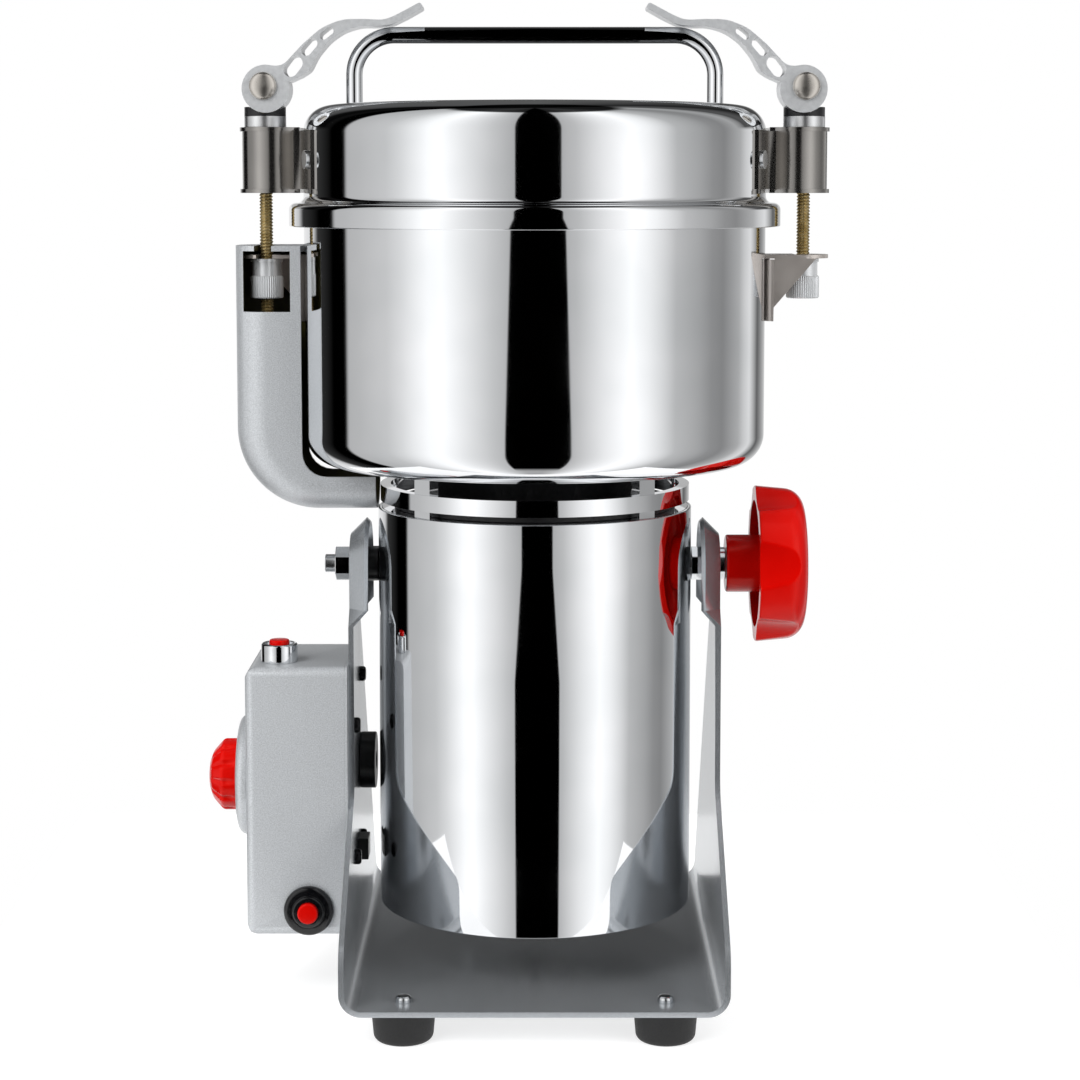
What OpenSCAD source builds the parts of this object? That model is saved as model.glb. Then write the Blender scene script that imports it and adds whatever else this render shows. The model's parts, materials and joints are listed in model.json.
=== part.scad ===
// Electric grain mill: a motor head with a lidded grinding bowl, tilting in a bent sheet stand.
// Millimetres. X to the right, Y to the back, Z up, the floor at z = 0.

/* [Stand] */
// Gap between the motor housing and an upright
side_gap = 10; // [9:0.1:16]
// Depth of the base plate in front of the mill's axis
front_depth = 90; // [84:1:100]
// Depth of the base plate behind the mill's axis
rear_depth = 118; // [110:1:130]
// Thickness of the stand's steel sheet
sheet = 2.3; // [1.8:0.1:2.6]
// Outside radius of the bends between plate and uprights
bend_r = 9.5; // [6:0.5:12]
// Height of the tilting axis above the floor
pivot_z = 190.2; // [188:0.1:194]
// Radius of the rounded top of an upright
upright_r = 20.5; // [19:0.1:21.5]
// Height at which an upright's front edge starts to draw in
flare_low = 40; // [32:1:50]
// Height at which the front edge has become a narrow strap
flare_high = 93; // [80:1:104]

/* [Feet] */
// Height of a rubber foot
foot_h = 13.6; // [10:0.1:16]
// Radius of a foot where it meets the plate
foot_r = 13.6; // [11:0.1:15]
// Feet from the outside of the uprights
foot_side = 26.3; // [22:0.1:36]
// Foot centres from the plate's front and rear edges
foot_inset = 14; // [14:1:20]

/* [Control box] */
// Reach of the box from the upright
box_x = 44.7; // [42:0.1:50]
// Depth of the box
box_y = 60; // [56:1:64]
// Underside of the box above the floor
box_z0 = 30; // [28:1:33]
// Height of the box
box_h = 119; // [114:1:121]
// Wall of the box
box_wall = 1.6; // [1.2:0.1:2]
// Timer's axis below the top of the box
timer_down = 53.8; // [51:0.1:57]
// Radius of the timer's dial plate
dial_r = 26.6; // [22:0.1:27.5]
// Radius of the timer knob
timer_r = 15.8; // [12:0.1:18]
// Height of the timer knob over the dial plate
timer_h = 13.6; // [10:0.1:16]

/* [Buttons] */
// Radius of the power button's collar
power_collar_r = 8; // [7.2:0.1:9]
// Height of the power button's collar
power_collar_h = 8.2; // [6:0.1:10]
// Radius of the power button's cap
power_cap_r = 4.35; // [3.5:0.05:4.6]
// Travel of the power button
power_travel = 1.4; // [1:0.1:2]
// Radius of the reset button's collar
reset_collar_r = 10.9; // [9.5:0.1:11.2]
// Radius of the reset button
reset_r = 4.5; // [3.5:0.1:5]
// Travel of the reset button
reset_travel = 2; // [1:0.1:2.5]

/* [Motor head] */
// Radius of the motor housing
motor_r = 69; // [67:0.1:69.5]
// Lower end of the motor housing
motor_z0 = 40.6; // [40:0.1:42]
// Upper end of the motor housing
motor_z1 = 216.4; // [215:0.1:218]
// Wall of the motor housing
motor_wall = 1.5; // [1:0.1:2]
// Radius of the pivot bolt and stud
bolt_r = 4; // [3.5:0.1:4.5]
// Radius of the motor shaft
shaft_r = 6; // [5:0.1:7]

/* [Star knob] */
// Rim radius of the star knob
star_r = 34.5; // [32:0.1:38]
// Height of the star knob's hollow body
star_h = 21.4; // [19:0.1:26]
// Radius of the star knob's hub
star_hub_r = 12.7; // [11:0.1:14]

/* [Bowl] */
// Radius of the bowl
bowl_r = 100.5; // [98:0.1:102]
// Underside of the bowl
bowl_z0 = 236; // [235.5:0.1:238]
// Top of the bowl's rim
bowl_z1 = 343; // [341:0.1:345]
// Wall of the bowl
bowl_wall = 1.5; // [1.2:0.1:2]
// Outside radius of the bowl's lower corner
bowl_corner = 13; // [10:0.5:15]
// Gap between the blades' tips and the bowl's wall
blade_gap = 11; // [7:1:19]

/* [Lid] */
// Height of the lid from its skirt's edge to its crown
lid_h = 53.4; // [50:0.1:56]
// Reach of the lid's skirt over the bowl's radius
skirt_over = 6.4; // [6:0.1:8]
// Height of the lid's skirt
skirt_h = 10.1; // [9:0.1:11]
// Radius of the lid's upper corner
lid_corner = 12; // [8:0.5:14]
// Wall of the lid
lid_wall = 1.3; // [1:0.1:1.5]
// Diameter of the handle's rod
handle_d = 7.2; // [6:0.1:8]
// Distance of the handle's legs in from the bowl's wall
handle_inset = 22.1; // [20:0.1:30]
// Height of the handle over the lid
handle_h = 32.6; // [28:0.1:33]

/* [Latches] */
// Distance of the latch rods from the bowl's wall
rod_out = 16.8; // [16:0.1:19]
// Radius of the threaded rods
rod_r = 3; // [2.5:0.05:3.1]
// Radius of a lever's eccentric boss
boss_r = 10.3; // [9.5:0.1:10.6]
// Reach of a lever from its boss
lever_reach = 68; // [60:1:70]
// Width of a lever
lever_w = 17; // [14:0.5:18]
// Distance of a lever's pin from the middle of its boss
cam_offset = 1.63; // [1:0.01:1.9]

/* [Hidden] */
$fn = 96;
// Overrun of a cut past the face that it leaves
cut = 1;
// Clearance of a shaft or pin in its bore
run_gap = 0.05;
// Gap beside a piece that moves
free_gap = 0.3;
// Gap between a turning face and the face that it runs against
face_gap = 0.2;

// Heights and reaches that several pieces share
plate_top = foot_h + sheet;
upright_in = motor_r + side_gap;
upright_out = upright_in + sheet;
back_plate_t = 1.2;
box_in = upright_out + back_plate_t;
box_out = upright_out + box_x;
box_z1 = box_z0 + box_h;
timer_z = box_z1 - timer_down;
dial_t = 5.2;
skirt_r = bowl_r + skirt_over;
skirt_hang = 3.8;
skirt_z0 = bowl_z1 - skirt_hang;
skirt_z1 = skirt_z0 + skirt_h;
lid_z1 = skirt_z0 + lid_h;
rod_x = bowl_r + rod_out;
housing_r = 13.3;
plate_lip = 1;
latch_plate_r = housing_r + plate_lip;
rod_off = 3.2;
latch_x = rod_x - rod_off;

// The origin is midway between the outermost points, so the mill's axis lies beside it
mill_x = (box_out + dial_t + timer_h - latch_x - latch_plate_r) / 2;
mill_y = (skirt_r - rear_depth) / 2;
module placed() translate([mill_x, mill_y, 0]) children();

function unit(v) = v / norm(v);
function short_turn(d) = d > 180 ? d - 360 : d < -180 ? d + 360 : d;
// Points of the arc of radius r that rounds corner b between points a and c
function corner_points(a, b, c, r, steps) =
    let (u = unit([a.x - b.x, a.y - b.y]), w = unit([c.x - b.x, c.y - b.y]),
         half = acos(u * w) / 2,
         centre = [b.x, b.y] + unit(u + w) * r / sin(half),
         p = [b.x, b.y] + u * r / tan(half) - centre,
         q = [b.x, b.y] + w * r / tan(half) - centre,
         start = atan2(p.y, p.x),
         sweep = short_turn(atan2(q.y, q.x) - start))
    [for (i = [0:steps]) let (t = start + sweep * i / steps) centre + r * [cos(t), sin(t)]];
// Outline through points [x, y, corner radius]
function rounded(points, steps = 6) =
    let (n = len(points))
    [for (i = [0:n - 1]) each points[i][2] == undef ? [points[i]]
        : corner_points(points[(i + n - 1) % n], points[i], points[(i + 1) % n], points[i][2], steps)];

// Extrusions of an outline drawn as seen from the front (x, z) or from the right (y, z)
module across_y(y0, y1) translate([0, y1, 0]) rotate([90, 0, 0]) linear_extrude(y1 - y0) children();
module across_x(x0, x1) translate([x0, 0, 0]) rotate([90, 0, 90]) linear_extrude(x1 - x0) children();
// Turned shapes and cylinders about an axis that points right, left, forwards or back
module facing_right(x, y, z) translate([x, y, z]) rotate([0, 90, 0]) children();
module facing_left(x, y, z) translate([x, y, z]) rotate([0, -90, 0]) children();
module facing_front(x, y, z) translate([x, y, z]) rotate([90, 0, 0]) children();
module facing_back(x, y, z) translate([x, y, z]) rotate([-90, 0, 0]) children();
module block(x, y, z) translate([x[0], y[0], z[0]]) cube([x[1] - x[0], y[1] - y[0], z[1] - z[0]]);
module tube(outer, inner, h) difference() {
    cylinder(r = outer, h = h);
    translate([0, 0, -cut]) cylinder(r = inner, h = h + 2 * cut);
}

// Machine screws of one size, heads up
screw_r = 2;
screw_head_r = 3.4;
screw_head_h = 2.6;
screw_l = 10;
screw_hole_r = screw_r + run_gap;
module machine_screw(length = screw_l) {
    translate([0, 0, -length]) cylinder(r = screw_r, h = length);
    rotate_extrude() polygon(rounded([[0, 0], [screw_head_r, 0],
        [screw_head_r, screw_head_h, screw_head_h / 2], [0, screw_head_h]]));
}

// Stand
dish_flat_r = 13.5;
ramp_h = 7;
dish_drop = 18;
dish_z = pivot_z - dish_drop;
ramp_z = dish_z - ramp_h;
seam = 0.1;
flare_r = 14;
foot_x = upright_out - foot_side;
foot_xy = [for (x = [-foot_x, foot_x], y = [foot_inset - front_depth, rear_depth - foot_inset]) [x, y]];
// Screws of the box, at its rear and front, from its top and from a share of its height
rear_screw_y = 18;
front_screw_y = 17;
rear_screw_down = 12;
front_screw_down = 28;
low_screw_share = 0.269;
low_screw_z = box_z0 + low_screw_share * box_h;
box_screw_yz = [[rear_screw_y, box_z1 - rear_screw_down], [-front_screw_y, box_z1 - front_screw_down],
    [rear_screw_y, low_screw_z], [-front_screw_y, low_screw_z]];
gland_y = 20;
gland_down = 52;
gland_z = box_z1 - gland_down;
gland_bore_r = 8;
upright_outline = rounded([[-front_depth, foot_h + bend_r], [-front_depth, flare_low, flare_r],
    [-upright_r, flare_high, flare_r], [-upright_r, ramp_z], [upright_r, ramp_z, flare_r],
    [rear_depth, foot_h + bend_r]]);
// Half section of the pressed dish: flat disc, then a rim that slopes inwards
rim_d = upright_r - dish_flat_r;
slope_t = sheet / sqrt(2);
flat_in_r = dish_flat_r - sheet * tan(22.5);
dish_section = [[0, upright_out], [dish_flat_r, upright_out], [upright_r, upright_out - rim_d],
    [upright_r - slope_t, upright_out - rim_d - slope_t], [flat_in_r, upright_in], [0, upright_in]];
module dish_wall_2d() polygon([for (i = [1:4]) [dish_section[i].y, dish_section[i].x]]);
module upright_edge_2d() polygon([[upright_out, dish_flat_r], [upright_out, upright_r],
    [upright_in, upright_r], [upright_in, flat_in_r]]);
module dish_side() {
    translate([0, 0, dish_z]) linear_extrude(pivot_z - dish_z)
        polygon([for (p = dish_section) [p.y, p.x]]);
    translate([0, 0, ramp_z]) linear_extrude(ramp_h)
        polygon([[upright_out, 0], [upright_out, dish_flat_r], [upright_in, flat_in_r], [upright_in, 0]]);
    hull() {
        translate([0, 0, dish_z - seam]) linear_extrude(seam) dish_wall_2d();
        translate([0, 0, ramp_z]) linear_extrude(seam) upright_edge_2d();
    }
}
module upright() {
    across_x(upright_in, upright_out) polygon(upright_outline);
    dish_side();
    mirror([0, 1, 0]) dish_side();
    intersection() {
        facing_right(0, 0, pivot_z) rotate_extrude() polygon(dish_section);
        block([0, 2 * upright_out], [-upright_r - cut, upright_r + cut], [pivot_z, pivot_z + upright_r + cut]);
    }
    translate([upright_out - bend_r, -front_depth, foot_h + bend_r]) rotate([-90, 0, 0])
        linear_extrude(front_depth + rear_depth) intersection() {
            difference() {
                circle(r = bend_r);
                circle(r = bend_r - sheet);
            }
            square([bend_r, bend_r]);
        }
}
module base_frame() color("silver") placed() difference() {
    union() {
        block([bend_r - upright_out, upright_out - bend_r], [-front_depth, rear_depth], [foot_h, plate_top]);
        upright();
        mirror([1, 0, 0]) upright();
    }
    for (p = foot_xy) translate([p.x, p.y, foot_h - cut]) cylinder(r = screw_hole_r, h = sheet + 2 * cut);
    for (s = [-1, 1]) facing_right(s * upright_out - sheet - cut, 0, pivot_z)
        cylinder(r = bolt_r + run_gap, h = 2 * (sheet + cut));
    for (p = box_screw_yz) facing_left(-upright_in + cut, p.x, p.y)
        cylinder(r = screw_hole_r, h = sheet + 2 * cut);
    facing_left(-upright_in + cut, gland_y, gland_z)
        cylinder(r = gland_bore_r + run_gap, h = sheet + 2 * cut);
}

foot_taper = 1.2;
foot_edge_r = 3;
foot_bore_l = screw_l - sheet + cut;
module rubber_feet() color("black") placed() for (p = foot_xy) translate([p.x, p.y, 0])
    rotate_extrude() polygon(rounded([[0, 0], [foot_r - foot_taper, 0, foot_edge_r], [foot_r, foot_h],
        [screw_hole_r, foot_h], [screw_hole_r, foot_h - foot_bore_l], [0, foot_h - foot_bore_l]]));

module stand_screws() color("gainsboro") placed() {
    for (p = foot_xy) translate([p.x, p.y, plate_top]) machine_screw();
    for (p = box_screw_yz) facing_right(-upright_in, p.x, p.y) machine_screw();
}

// Control box
box_edge_r = 6;
box_front_r = 4;
post_r = 3.6;
post_bore_l = screw_l - sheet - back_plate_t + cut;
power_inset = 14;
power_x = box_out - power_inset;
power_y = -14.5;
power_barrel_r = 6;
power_barrel_l = 11;
reset_reach = 16.2;
reset_up = 11.6;
reset_x = box_in + reset_reach;
reset_z = box_z0 + reset_up;
reset_barrel_r = 6.5;
spindle_r = 3;
spindle_hole_r = spindle_r + free_gap;
mains_reach = 21.5;
mains_up = 30;
mains_x = box_in + mains_reach;
mains_z = box_z0 + mains_up;
mains_barrel_r = 6;
module box_outer() intersection() {
    across_y(-box_y / 2, box_y / 2) polygon(rounded([[-box_out, box_z0, box_edge_r], [-box_in, box_z0],
        [-box_in, box_z1], [-box_out, box_z1, box_edge_r]]));
    linear_extrude(box_z1) polygon(rounded([[-box_out, -box_y / 2, box_front_r], [-box_in, -box_y / 2],
        [-box_in, box_y / 2], [-box_out, box_y / 2, box_front_r]]));
    across_x(-box_out, -box_in) box_face_2d(box_front_r);
}
module box_face_2d(r) polygon(rounded([[-box_y / 2, box_z0, r], [box_y / 2, box_z0, r],
    [box_y / 2, box_z1, r], [-box_y / 2, box_z1, r]]));
module control_box() color("silver") placed() difference() {
    union() {
        difference() {
            box_outer();
            block([-box_out + box_wall, -box_in + cut], [box_wall - box_y / 2, box_y / 2 - box_wall],
                [box_z0 + box_wall, box_z1 - box_wall]);
        }
        for (p = box_screw_yz) facing_left(-box_in, p.x, p.y)
            cylinder(r = post_r, h = box_out - box_in - box_wall / 2);
    }
    for (p = box_screw_yz) facing_left(-box_in + cut, p.x, p.y)
        cylinder(r = screw_hole_r, h = post_bore_l + cut);
    facing_left(-box_out + box_wall + cut, 0, timer_z) cylinder(r = spindle_hole_r, h = box_wall + 2 * cut);
    translate([-power_x, power_y, box_z1 - box_wall - cut])
        cylinder(r = power_barrel_r + run_gap, h = box_wall + 2 * cut);
    facing_front(-reset_x, cut + box_wall - box_y / 2, reset_z)
        cylinder(r = reset_barrel_r + run_gap, h = box_wall + 2 * cut);
    facing_back(-mains_x, box_y / 2 - box_wall - cut, mains_z)
        cylinder(r = mains_barrel_r + run_gap, h = box_wall + 2 * cut);
}

module box_back_plate() color("gray") placed() difference() {
    across_x(-box_in, -upright_out) box_face_2d(box_front_r);
    for (p = box_screw_yz) facing_left(-upright_out + cut, p.x, p.y)
        cylinder(r = screw_hole_r, h = back_plate_t + 2 * cut);
    facing_left(-upright_out + cut, gland_y, gland_z)
        cylinder(r = gland_bore_r + run_gap, h = back_plate_t + 2 * cut);
}

dial_edge_r = 4;
module timer_dial_plate() color("silver") placed() facing_left(-box_out, 0, timer_z)
    rotate_extrude() polygon(rounded([[spindle_hole_r, 0], [dial_r, 0], [dial_r, dial_t, dial_edge_r],
        [spindle_hole_r, dial_t]]));

module_r = 20.5;
module_l = 19;
module timer_module() color("dimgray") placed() facing_right(-box_out + box_wall, 0, timer_z)
    tube(module_r, spindle_r + run_gap, module_l);

spindle_in = 13;
spindle_share = 0.65;
module timer_spindle() color("gainsboro") placed()
    facing_left(-box_out + box_wall + spindle_in, 0, timer_z)
        cylinder(r = spindle_r, h = spindle_in - box_wall + dial_t + timer_h * spindle_share);

// Dome of the timer knob, as shares of its radius and height
timer_dome_shares = [[1, 0.47], [0.96, 0.52], [0.84, 0.67], [0.64, 0.86], [0.42, 0.96], [0.14, 1], [0, 1]];
timer_flutes = 12;
flute_r = 1.3;
flute_turn = 38;
module timer_knob() color("red") placed() facing_left(-box_out - dial_t, 0, timer_z) difference() {
    rotate_extrude() polygon(concat([[0, free_gap], [timer_r, free_gap]],
        [for (s = timer_dome_shares) [s.x * timer_r, s.y * timer_h]]));
    translate([0, 0, -cut]) cylinder(r = spindle_r + run_gap, h = cut + timer_h * spindle_share);
    for (i = [0:timer_flutes - 1]) rotate(i * 360 / timer_flutes)
        translate([timer_r + flute_r / 2, 0, timer_h / 2]) rotate([0, -flute_turn, 0])
            cylinder(r = flute_r, h = timer_h, $fn = 24);
}

// Buttons
power_cap_out = 1.5;
power_recess_r = 5.7;
power_recess_d = 1.6;
power_chamfer = 0.6;
power_cap_l = 16;
module power_button_collar() color("white") placed() translate([-power_x, power_y, box_z1])
    rotate_extrude() polygon([[power_cap_r + run_gap, -power_barrel_l], [power_barrel_r, -power_barrel_l],
        [power_barrel_r, 0], [power_collar_r, 0], [power_collar_r, power_collar_h - power_chamfer],
        [power_collar_r - power_chamfer, power_collar_h], [power_recess_r + power_chamfer / 2, power_collar_h],
        [power_recess_r, power_collar_h - power_recess_d],
        [power_cap_r + run_gap, power_collar_h - power_recess_d]]);
module power_button_cap() color("red") placed()
    translate([-power_x, power_y, box_z1 + power_collar_h + power_cap_out - power_cap_l])
        rotate_extrude() polygon(rounded([[0, 0], [power_cap_r, 0],
            [power_cap_r, power_cap_l, power_chamfer], [0, power_cap_l]]));
power_switch_r = 7;
power_switch_h = 12;
module power_switch() color("dimgray") placed()
    translate([-power_x, power_y, box_z1 - power_barrel_l - power_switch_h])
        cylinder(r = power_switch_r, h = power_switch_h);

reset_lip_r = 6.9;
reset_lip_h = 4.6;
reset_face_h = 2.8;
reset_edge_r = 1.8;
reset_lip_edge_r = 0.8;
reset_out = 6.8;
reset_in = 3.5;
module reset_collar() color("black") placed() facing_front(-reset_x, -box_y / 2, reset_z)
    rotate_extrude() polygon(rounded([[reset_r + run_gap, -box_wall], [reset_barrel_r, -box_wall],
        [reset_barrel_r, 0], [reset_collar_r, 0], [reset_collar_r, reset_face_h, reset_edge_r],
        [reset_lip_r, reset_face_h], [reset_lip_r, reset_lip_h, reset_lip_edge_r],
        [reset_r + run_gap, reset_lip_h]]));
module reset_button() color("red") placed() facing_front(-reset_x, reset_in - box_y / 2, reset_z)
    rotate_extrude() polygon(rounded([[0, 0], [reset_r, 0], [reset_r, reset_out + reset_in, reset_lip_edge_r],
        [0, reset_out + reset_in]]));
breaker_w = 18;
breaker_l = 17;
module overload_breaker() color("black") placed() difference() {
    block([-reset_x - breaker_w / 2, -reset_x + breaker_w / 2],
        [box_wall - box_y / 2, box_wall + breaker_l - box_y / 2],
        [reset_z - breaker_w / 2, reset_z + breaker_w / 2]);
    facing_back(-reset_x, box_wall - cut - box_y / 2, reset_z)
        cylinder(r = reset_r + run_gap, h = cut + reset_in + reset_travel);
}

gland_flange_r = 12.7;
gland_flange_l = 7;
gland_cable_r = 4;
gland_in = 6;
mains_flange_r = 8;
mains_flange_l = 8;
mains_cable_r = 3.5;
mains_in = 1.5;
clamp_y = [-5, 8];
clamp_half = 4.8;
clamp_z = [low_screw_z - clamp_half, low_screw_z + clamp_half];
clamp_t = 4.8;
module gland(flange_r, flange_l, barrel_r, barrel_l, bore_r) difference() {
    union() {
        cylinder(r = flange_r, h = flange_l);
        cylinder(r = barrel_r, h = flange_l + barrel_l);
    }
    translate([0, 0, -cut]) cylinder(r = bore_r, h = flange_l + barrel_l + 2 * cut);
}
module cable_glands() color("black") placed() {
    facing_left(gland_flange_l - upright_in, gland_y, gland_z)
        gland(gland_flange_r, gland_flange_l, gland_bore_r, sheet + back_plate_t + gland_in, gland_cable_r);
    facing_front(-mains_x, box_y / 2 + mains_flange_l, mains_z)
        gland(mains_flange_r, mains_flange_l, mains_barrel_r, box_wall + mains_in, mains_cable_r);
    block([-upright_in, clamp_t - upright_in], clamp_y, clamp_z);
}

// Pivot
bolt_head_r = 6.5;
bolt_head_t = 5;
head_seat = sqrt(pow(motor_r - motor_wall, 2) - pow(bolt_head_r, 2)) - run_gap;
nut_r = 7.5;
nut_t = 6.6;
bolt_out = 4.6;
spacer_r = 7.7;
washer_t = 2.6;
washer_r = 7.15;
hub_x = upright_out + 2 * face_gap + washer_t;
insert_l = 20;
module pivot_pin(length) {
    cylinder(r = bolt_head_r, h = bolt_head_t);
    cylinder(r = bolt_r, h = bolt_head_t + length);
}
module pivot_bolt() color("gainsboro") placed() facing_left(bolt_head_t - head_seat, 0, pivot_z)
    pivot_pin(upright_out + face_gap + nut_t + bolt_out - head_seat);
module pivot_stud() color("gainsboro") placed() facing_right(head_seat - bolt_head_t, 0, pivot_z)
    pivot_pin(hub_x + insert_l - head_seat);
module hex_nut(r, bore_r, t) difference() {
    cylinder(r = r, h = t, $fn = 6);
    translate([0, 0, -cut]) cylinder(r = bore_r, h = t + 2 * cut);
}
module pivot_nuts() color("gainsboro") placed() {
    facing_left(-upright_out - face_gap, 0, pivot_z) hex_nut(nut_r, bolt_r + run_gap, nut_t);
    facing_right(motor_r + run_gap, 0, pivot_z) hex_nut(nut_r, bolt_r + run_gap, nut_t);
}
module pivot_spacers() color("black") placed() {
    facing_left(-motor_r - run_gap, 0, pivot_z)
        tube(spacer_r, bolt_r + run_gap, upright_in - face_gap - motor_r - run_gap);
    facing_right(motor_r + nut_t + 2 * run_gap, 0, pivot_z)
        tube(spacer_r, bolt_r + run_gap, upright_in - face_gap - motor_r - nut_t - 2 * run_gap);
}

// Star knob on the right
star_neck_l = 12.9;
star_taper = 2;
star_end_r = 9;
star_cavity_r = 28;
star_floor = 4.2;
star_arms = 6;
star_turn = -6.8;
scallop_r = 20;
scallop_d = 4.5;
scallop_lean = 5;
insert_r = 6;
module star_knob() color("red") placed() facing_right(hub_x, 0, pivot_z) difference() {
    union() {
        cylinder(r = star_hub_r, h = star_neck_l + star_h - star_floor);
        translate([0, 0, star_neck_l]) rotate_extrude() polygon(rounded([
            [0, star_h - star_floor], [star_cavity_r, star_h - star_floor, star_end_r / 2],
            [star_cavity_r, 0], [star_r, 0], [star_r - star_taper, star_h, star_end_r], [0, star_h]]));
    }
    for (i = [0:star_arms - 1]) rotate(i * 360 / star_arms + star_turn)
        translate([star_r + scallop_r - scallop_d, 0, star_neck_l]) rotate([0, scallop_lean, 0])
            translate([0, 0, -scallop_r]) cylinder(r = scallop_r, h = scallop_r + 2 * star_h);
    translate([0, 0, -cut]) cylinder(r = insert_r + run_gap, h = cut + insert_l + cut);
}
module knob_insert() color("goldenrod") placed() facing_right(hub_x + face_gap, 0, pivot_z)
    tube(insert_r, bolt_r + run_gap, insert_l - face_gap);
module knob_washer() color("gainsboro") placed() facing_right(upright_out + face_gap, 0, pivot_z)
    tube(washer_r, bolt_r + run_gap, washer_t);

// Motor housing and its lower end
cover_r = motor_r - motor_wall - face_gap;
cover_in = 2.9;
cover_t = 2.5;
cover_z = motor_z0 + cover_in;
vent_count = 18;
bracket_hub_r = 22;
vent_w = 4;
vent_share = 0.783;
vent_r = [bracket_hub_r + vent_w / 2, vent_share * motor_r];
bracket_h = 12;
bracket_z = cover_z + cover_t;
bracket_ring_w = 7.3;
bracket_arm_w = 10;
cover_screws = 3;
cover_screw_r = cover_r - bracket_ring_w / 2;
lower_bearing_r = 16;
lower_bearing_h = 10;
shaft_hole_r = 8;
module motor_housing() color("silver") placed() difference() {
    translate([0, 0, motor_z0]) tube(motor_r, motor_r - motor_wall, motor_z1 - motor_z0);
    facing_right(-motor_r - cut, 0, pivot_z) cylinder(r = bolt_r + run_gap, h = 2 * (motor_r + cut));
}
module at_cover_screws() for (i = [0:cover_screws - 1]) rotate(i * 360 / cover_screws)
    translate([cover_screw_r, 0, cover_z]) rotate([180, 0, 0]) children();
module bottom_cover() color("black") placed() difference() {
    translate([0, 0, cover_z]) cylinder(r = cover_r, h = cover_t);
    for (i = [0:vent_count - 1]) rotate((i + 0.5) * 360 / vent_count)
        block(vent_r, [-vent_w / 2, vent_w / 2], [cover_z - cut, cover_z + cover_t + cut]);
    at_cover_screws() translate([0, 0, -cover_t - cut]) cylinder(r = screw_hole_r, h = cover_t + 2 * cut);
}
module lower_bracket() color("silver") placed() difference() {
    translate([0, 0, bracket_z]) linear_extrude(bracket_h) {
        difference() {
            circle(r = cover_r);
            circle(r = cover_r - bracket_ring_w);
        }
        circle(r = bracket_hub_r);
        for (a = [45, 135]) rotate(a) square([2 * cover_screw_r, bracket_arm_w], center = true);
    }
    translate([0, 0, bracket_z - cut]) cylinder(r = shaft_hole_r, h = bracket_h + 2 * cut);
    translate([0, 0, bracket_z + bracket_h - lower_bearing_h])
        cylinder(r = lower_bearing_r + run_gap, h = lower_bearing_h + cut);
    at_cover_screws() translate([0, 0, -screw_l - cut]) cylinder(r = screw_hole_r, h = screw_l);
}

// Motor: stator, armature, brushes and fan
core_up = 27;
core_l = 60;
winding_h = 10;
// Radii inside the motor, as shares of the housing's
bore_share = 0.529;
stator_winding_shares = [0.58, 0.84];
armature_winding_share = 0.449;
brush_share = 0.493;
holder_share = 0.696;
fan_share = 0.783;
neck_inner_share = 0.841;
carrier_shares = [0.435, 0.493, 0.638, 0.725, 0.896];
stator_bore_r = bore_share * motor_r;
air_gap = 1;
stator_winding_r = stator_winding_shares * motor_r;
armature_overhang = 2;
slots = 12;
slot_w = 3;
slot_d = 9;
armature_winding_r = armature_winding_share * motor_r;
commutator_r = 16;
commutator_h = 11.5;
holder_wall = 3;
commutator_bars = 16;
bar_gap = 0.8;
brush_z = bracket_z + bracket_h + holder_wall;
brush_w = 6;
brush_h = 8;
brush_r = [commutator_r + free_gap, brush_share * motor_r];
holder_inset = 4;
holder_r = [commutator_r + holder_inset, holder_share * motor_r];
core_z = [brush_z + core_up, brush_z + core_up + core_l];
fan_up = 18;
fan_z = core_z[1] + fan_up;
fan_h = 16;
fan_r = fan_share * motor_r;
fan_hub_r = 14;
fan_blades = 10;
fan_plate_t = 2;
shaft_z0 = bracket_z + face_gap;
journal_down = 11.4;
journal_z0 = motor_z1 - journal_down;
journal_r = 8.5;
module stator_core() color("gray") placed() translate([0, 0, core_z[0]])
    tube(cover_r, stator_bore_r, core_z[1] - core_z[0]);
module stator_windings() color("chocolate") placed() for (z = [core_z[0] - winding_h, core_z[1]])
    translate([0, 0, z]) tube(stator_winding_r[1], stator_winding_r[0], winding_h);
module each_side() {
    children();
    mirror([1, 0, 0]) children();
}
module brush_holders() color("black") placed() each_side() difference() {
    block(holder_r, [-brush_w / 2 - holder_wall, brush_w / 2 + holder_wall],
        [brush_z - holder_wall, brush_z + brush_h + holder_wall]);
    block([holder_r[0] - cut, holder_r[1] + cut], [-brush_w / 2 - run_gap, brush_w / 2 + run_gap],
        [brush_z - run_gap, brush_z + brush_h + run_gap]);
}
module carbon_brushes() color("dimgray") placed() each_side()
    block(brush_r, [-brush_w / 2, brush_w / 2], [brush_z, brush_z + brush_h]);
module armature_core() color("gray") placed() difference() {
    translate([0, 0, core_z[0] - armature_overhang])
        cylinder(r = stator_bore_r - air_gap, h = core_z[1] - core_z[0] + 2 * armature_overhang);
    for (i = [0:slots - 1]) rotate(i * 360 / slots)
        block([stator_bore_r - slot_d, stator_bore_r], [-slot_w / 2, slot_w / 2],
            [core_z[0] - winding_h, core_z[1] + winding_h]);
    translate([0, 0, core_z[0] - winding_h]) cylinder(r = shaft_r + run_gap, h = 2 * core_z[1]);
}
module armature_windings() color("chocolate") placed()
    for (z = [core_z[0] - armature_overhang - winding_h, core_z[1] + armature_overhang])
        translate([0, 0, z]) tube(armature_winding_r - slot_w, shaft_r + run_gap, winding_h);
module commutator() color("peru") placed() translate([0, 0, brush_z - holder_wall / 2]) difference() {
    tube(commutator_r, shaft_r + run_gap, commutator_h);
    for (i = [0:commutator_bars - 1]) rotate(i * 360 / commutator_bars)
        block([commutator_r - bar_gap, commutator_r + cut], [-bar_gap / 2, bar_gap / 2],
            [-cut, commutator_h + cut]);
}
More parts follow.
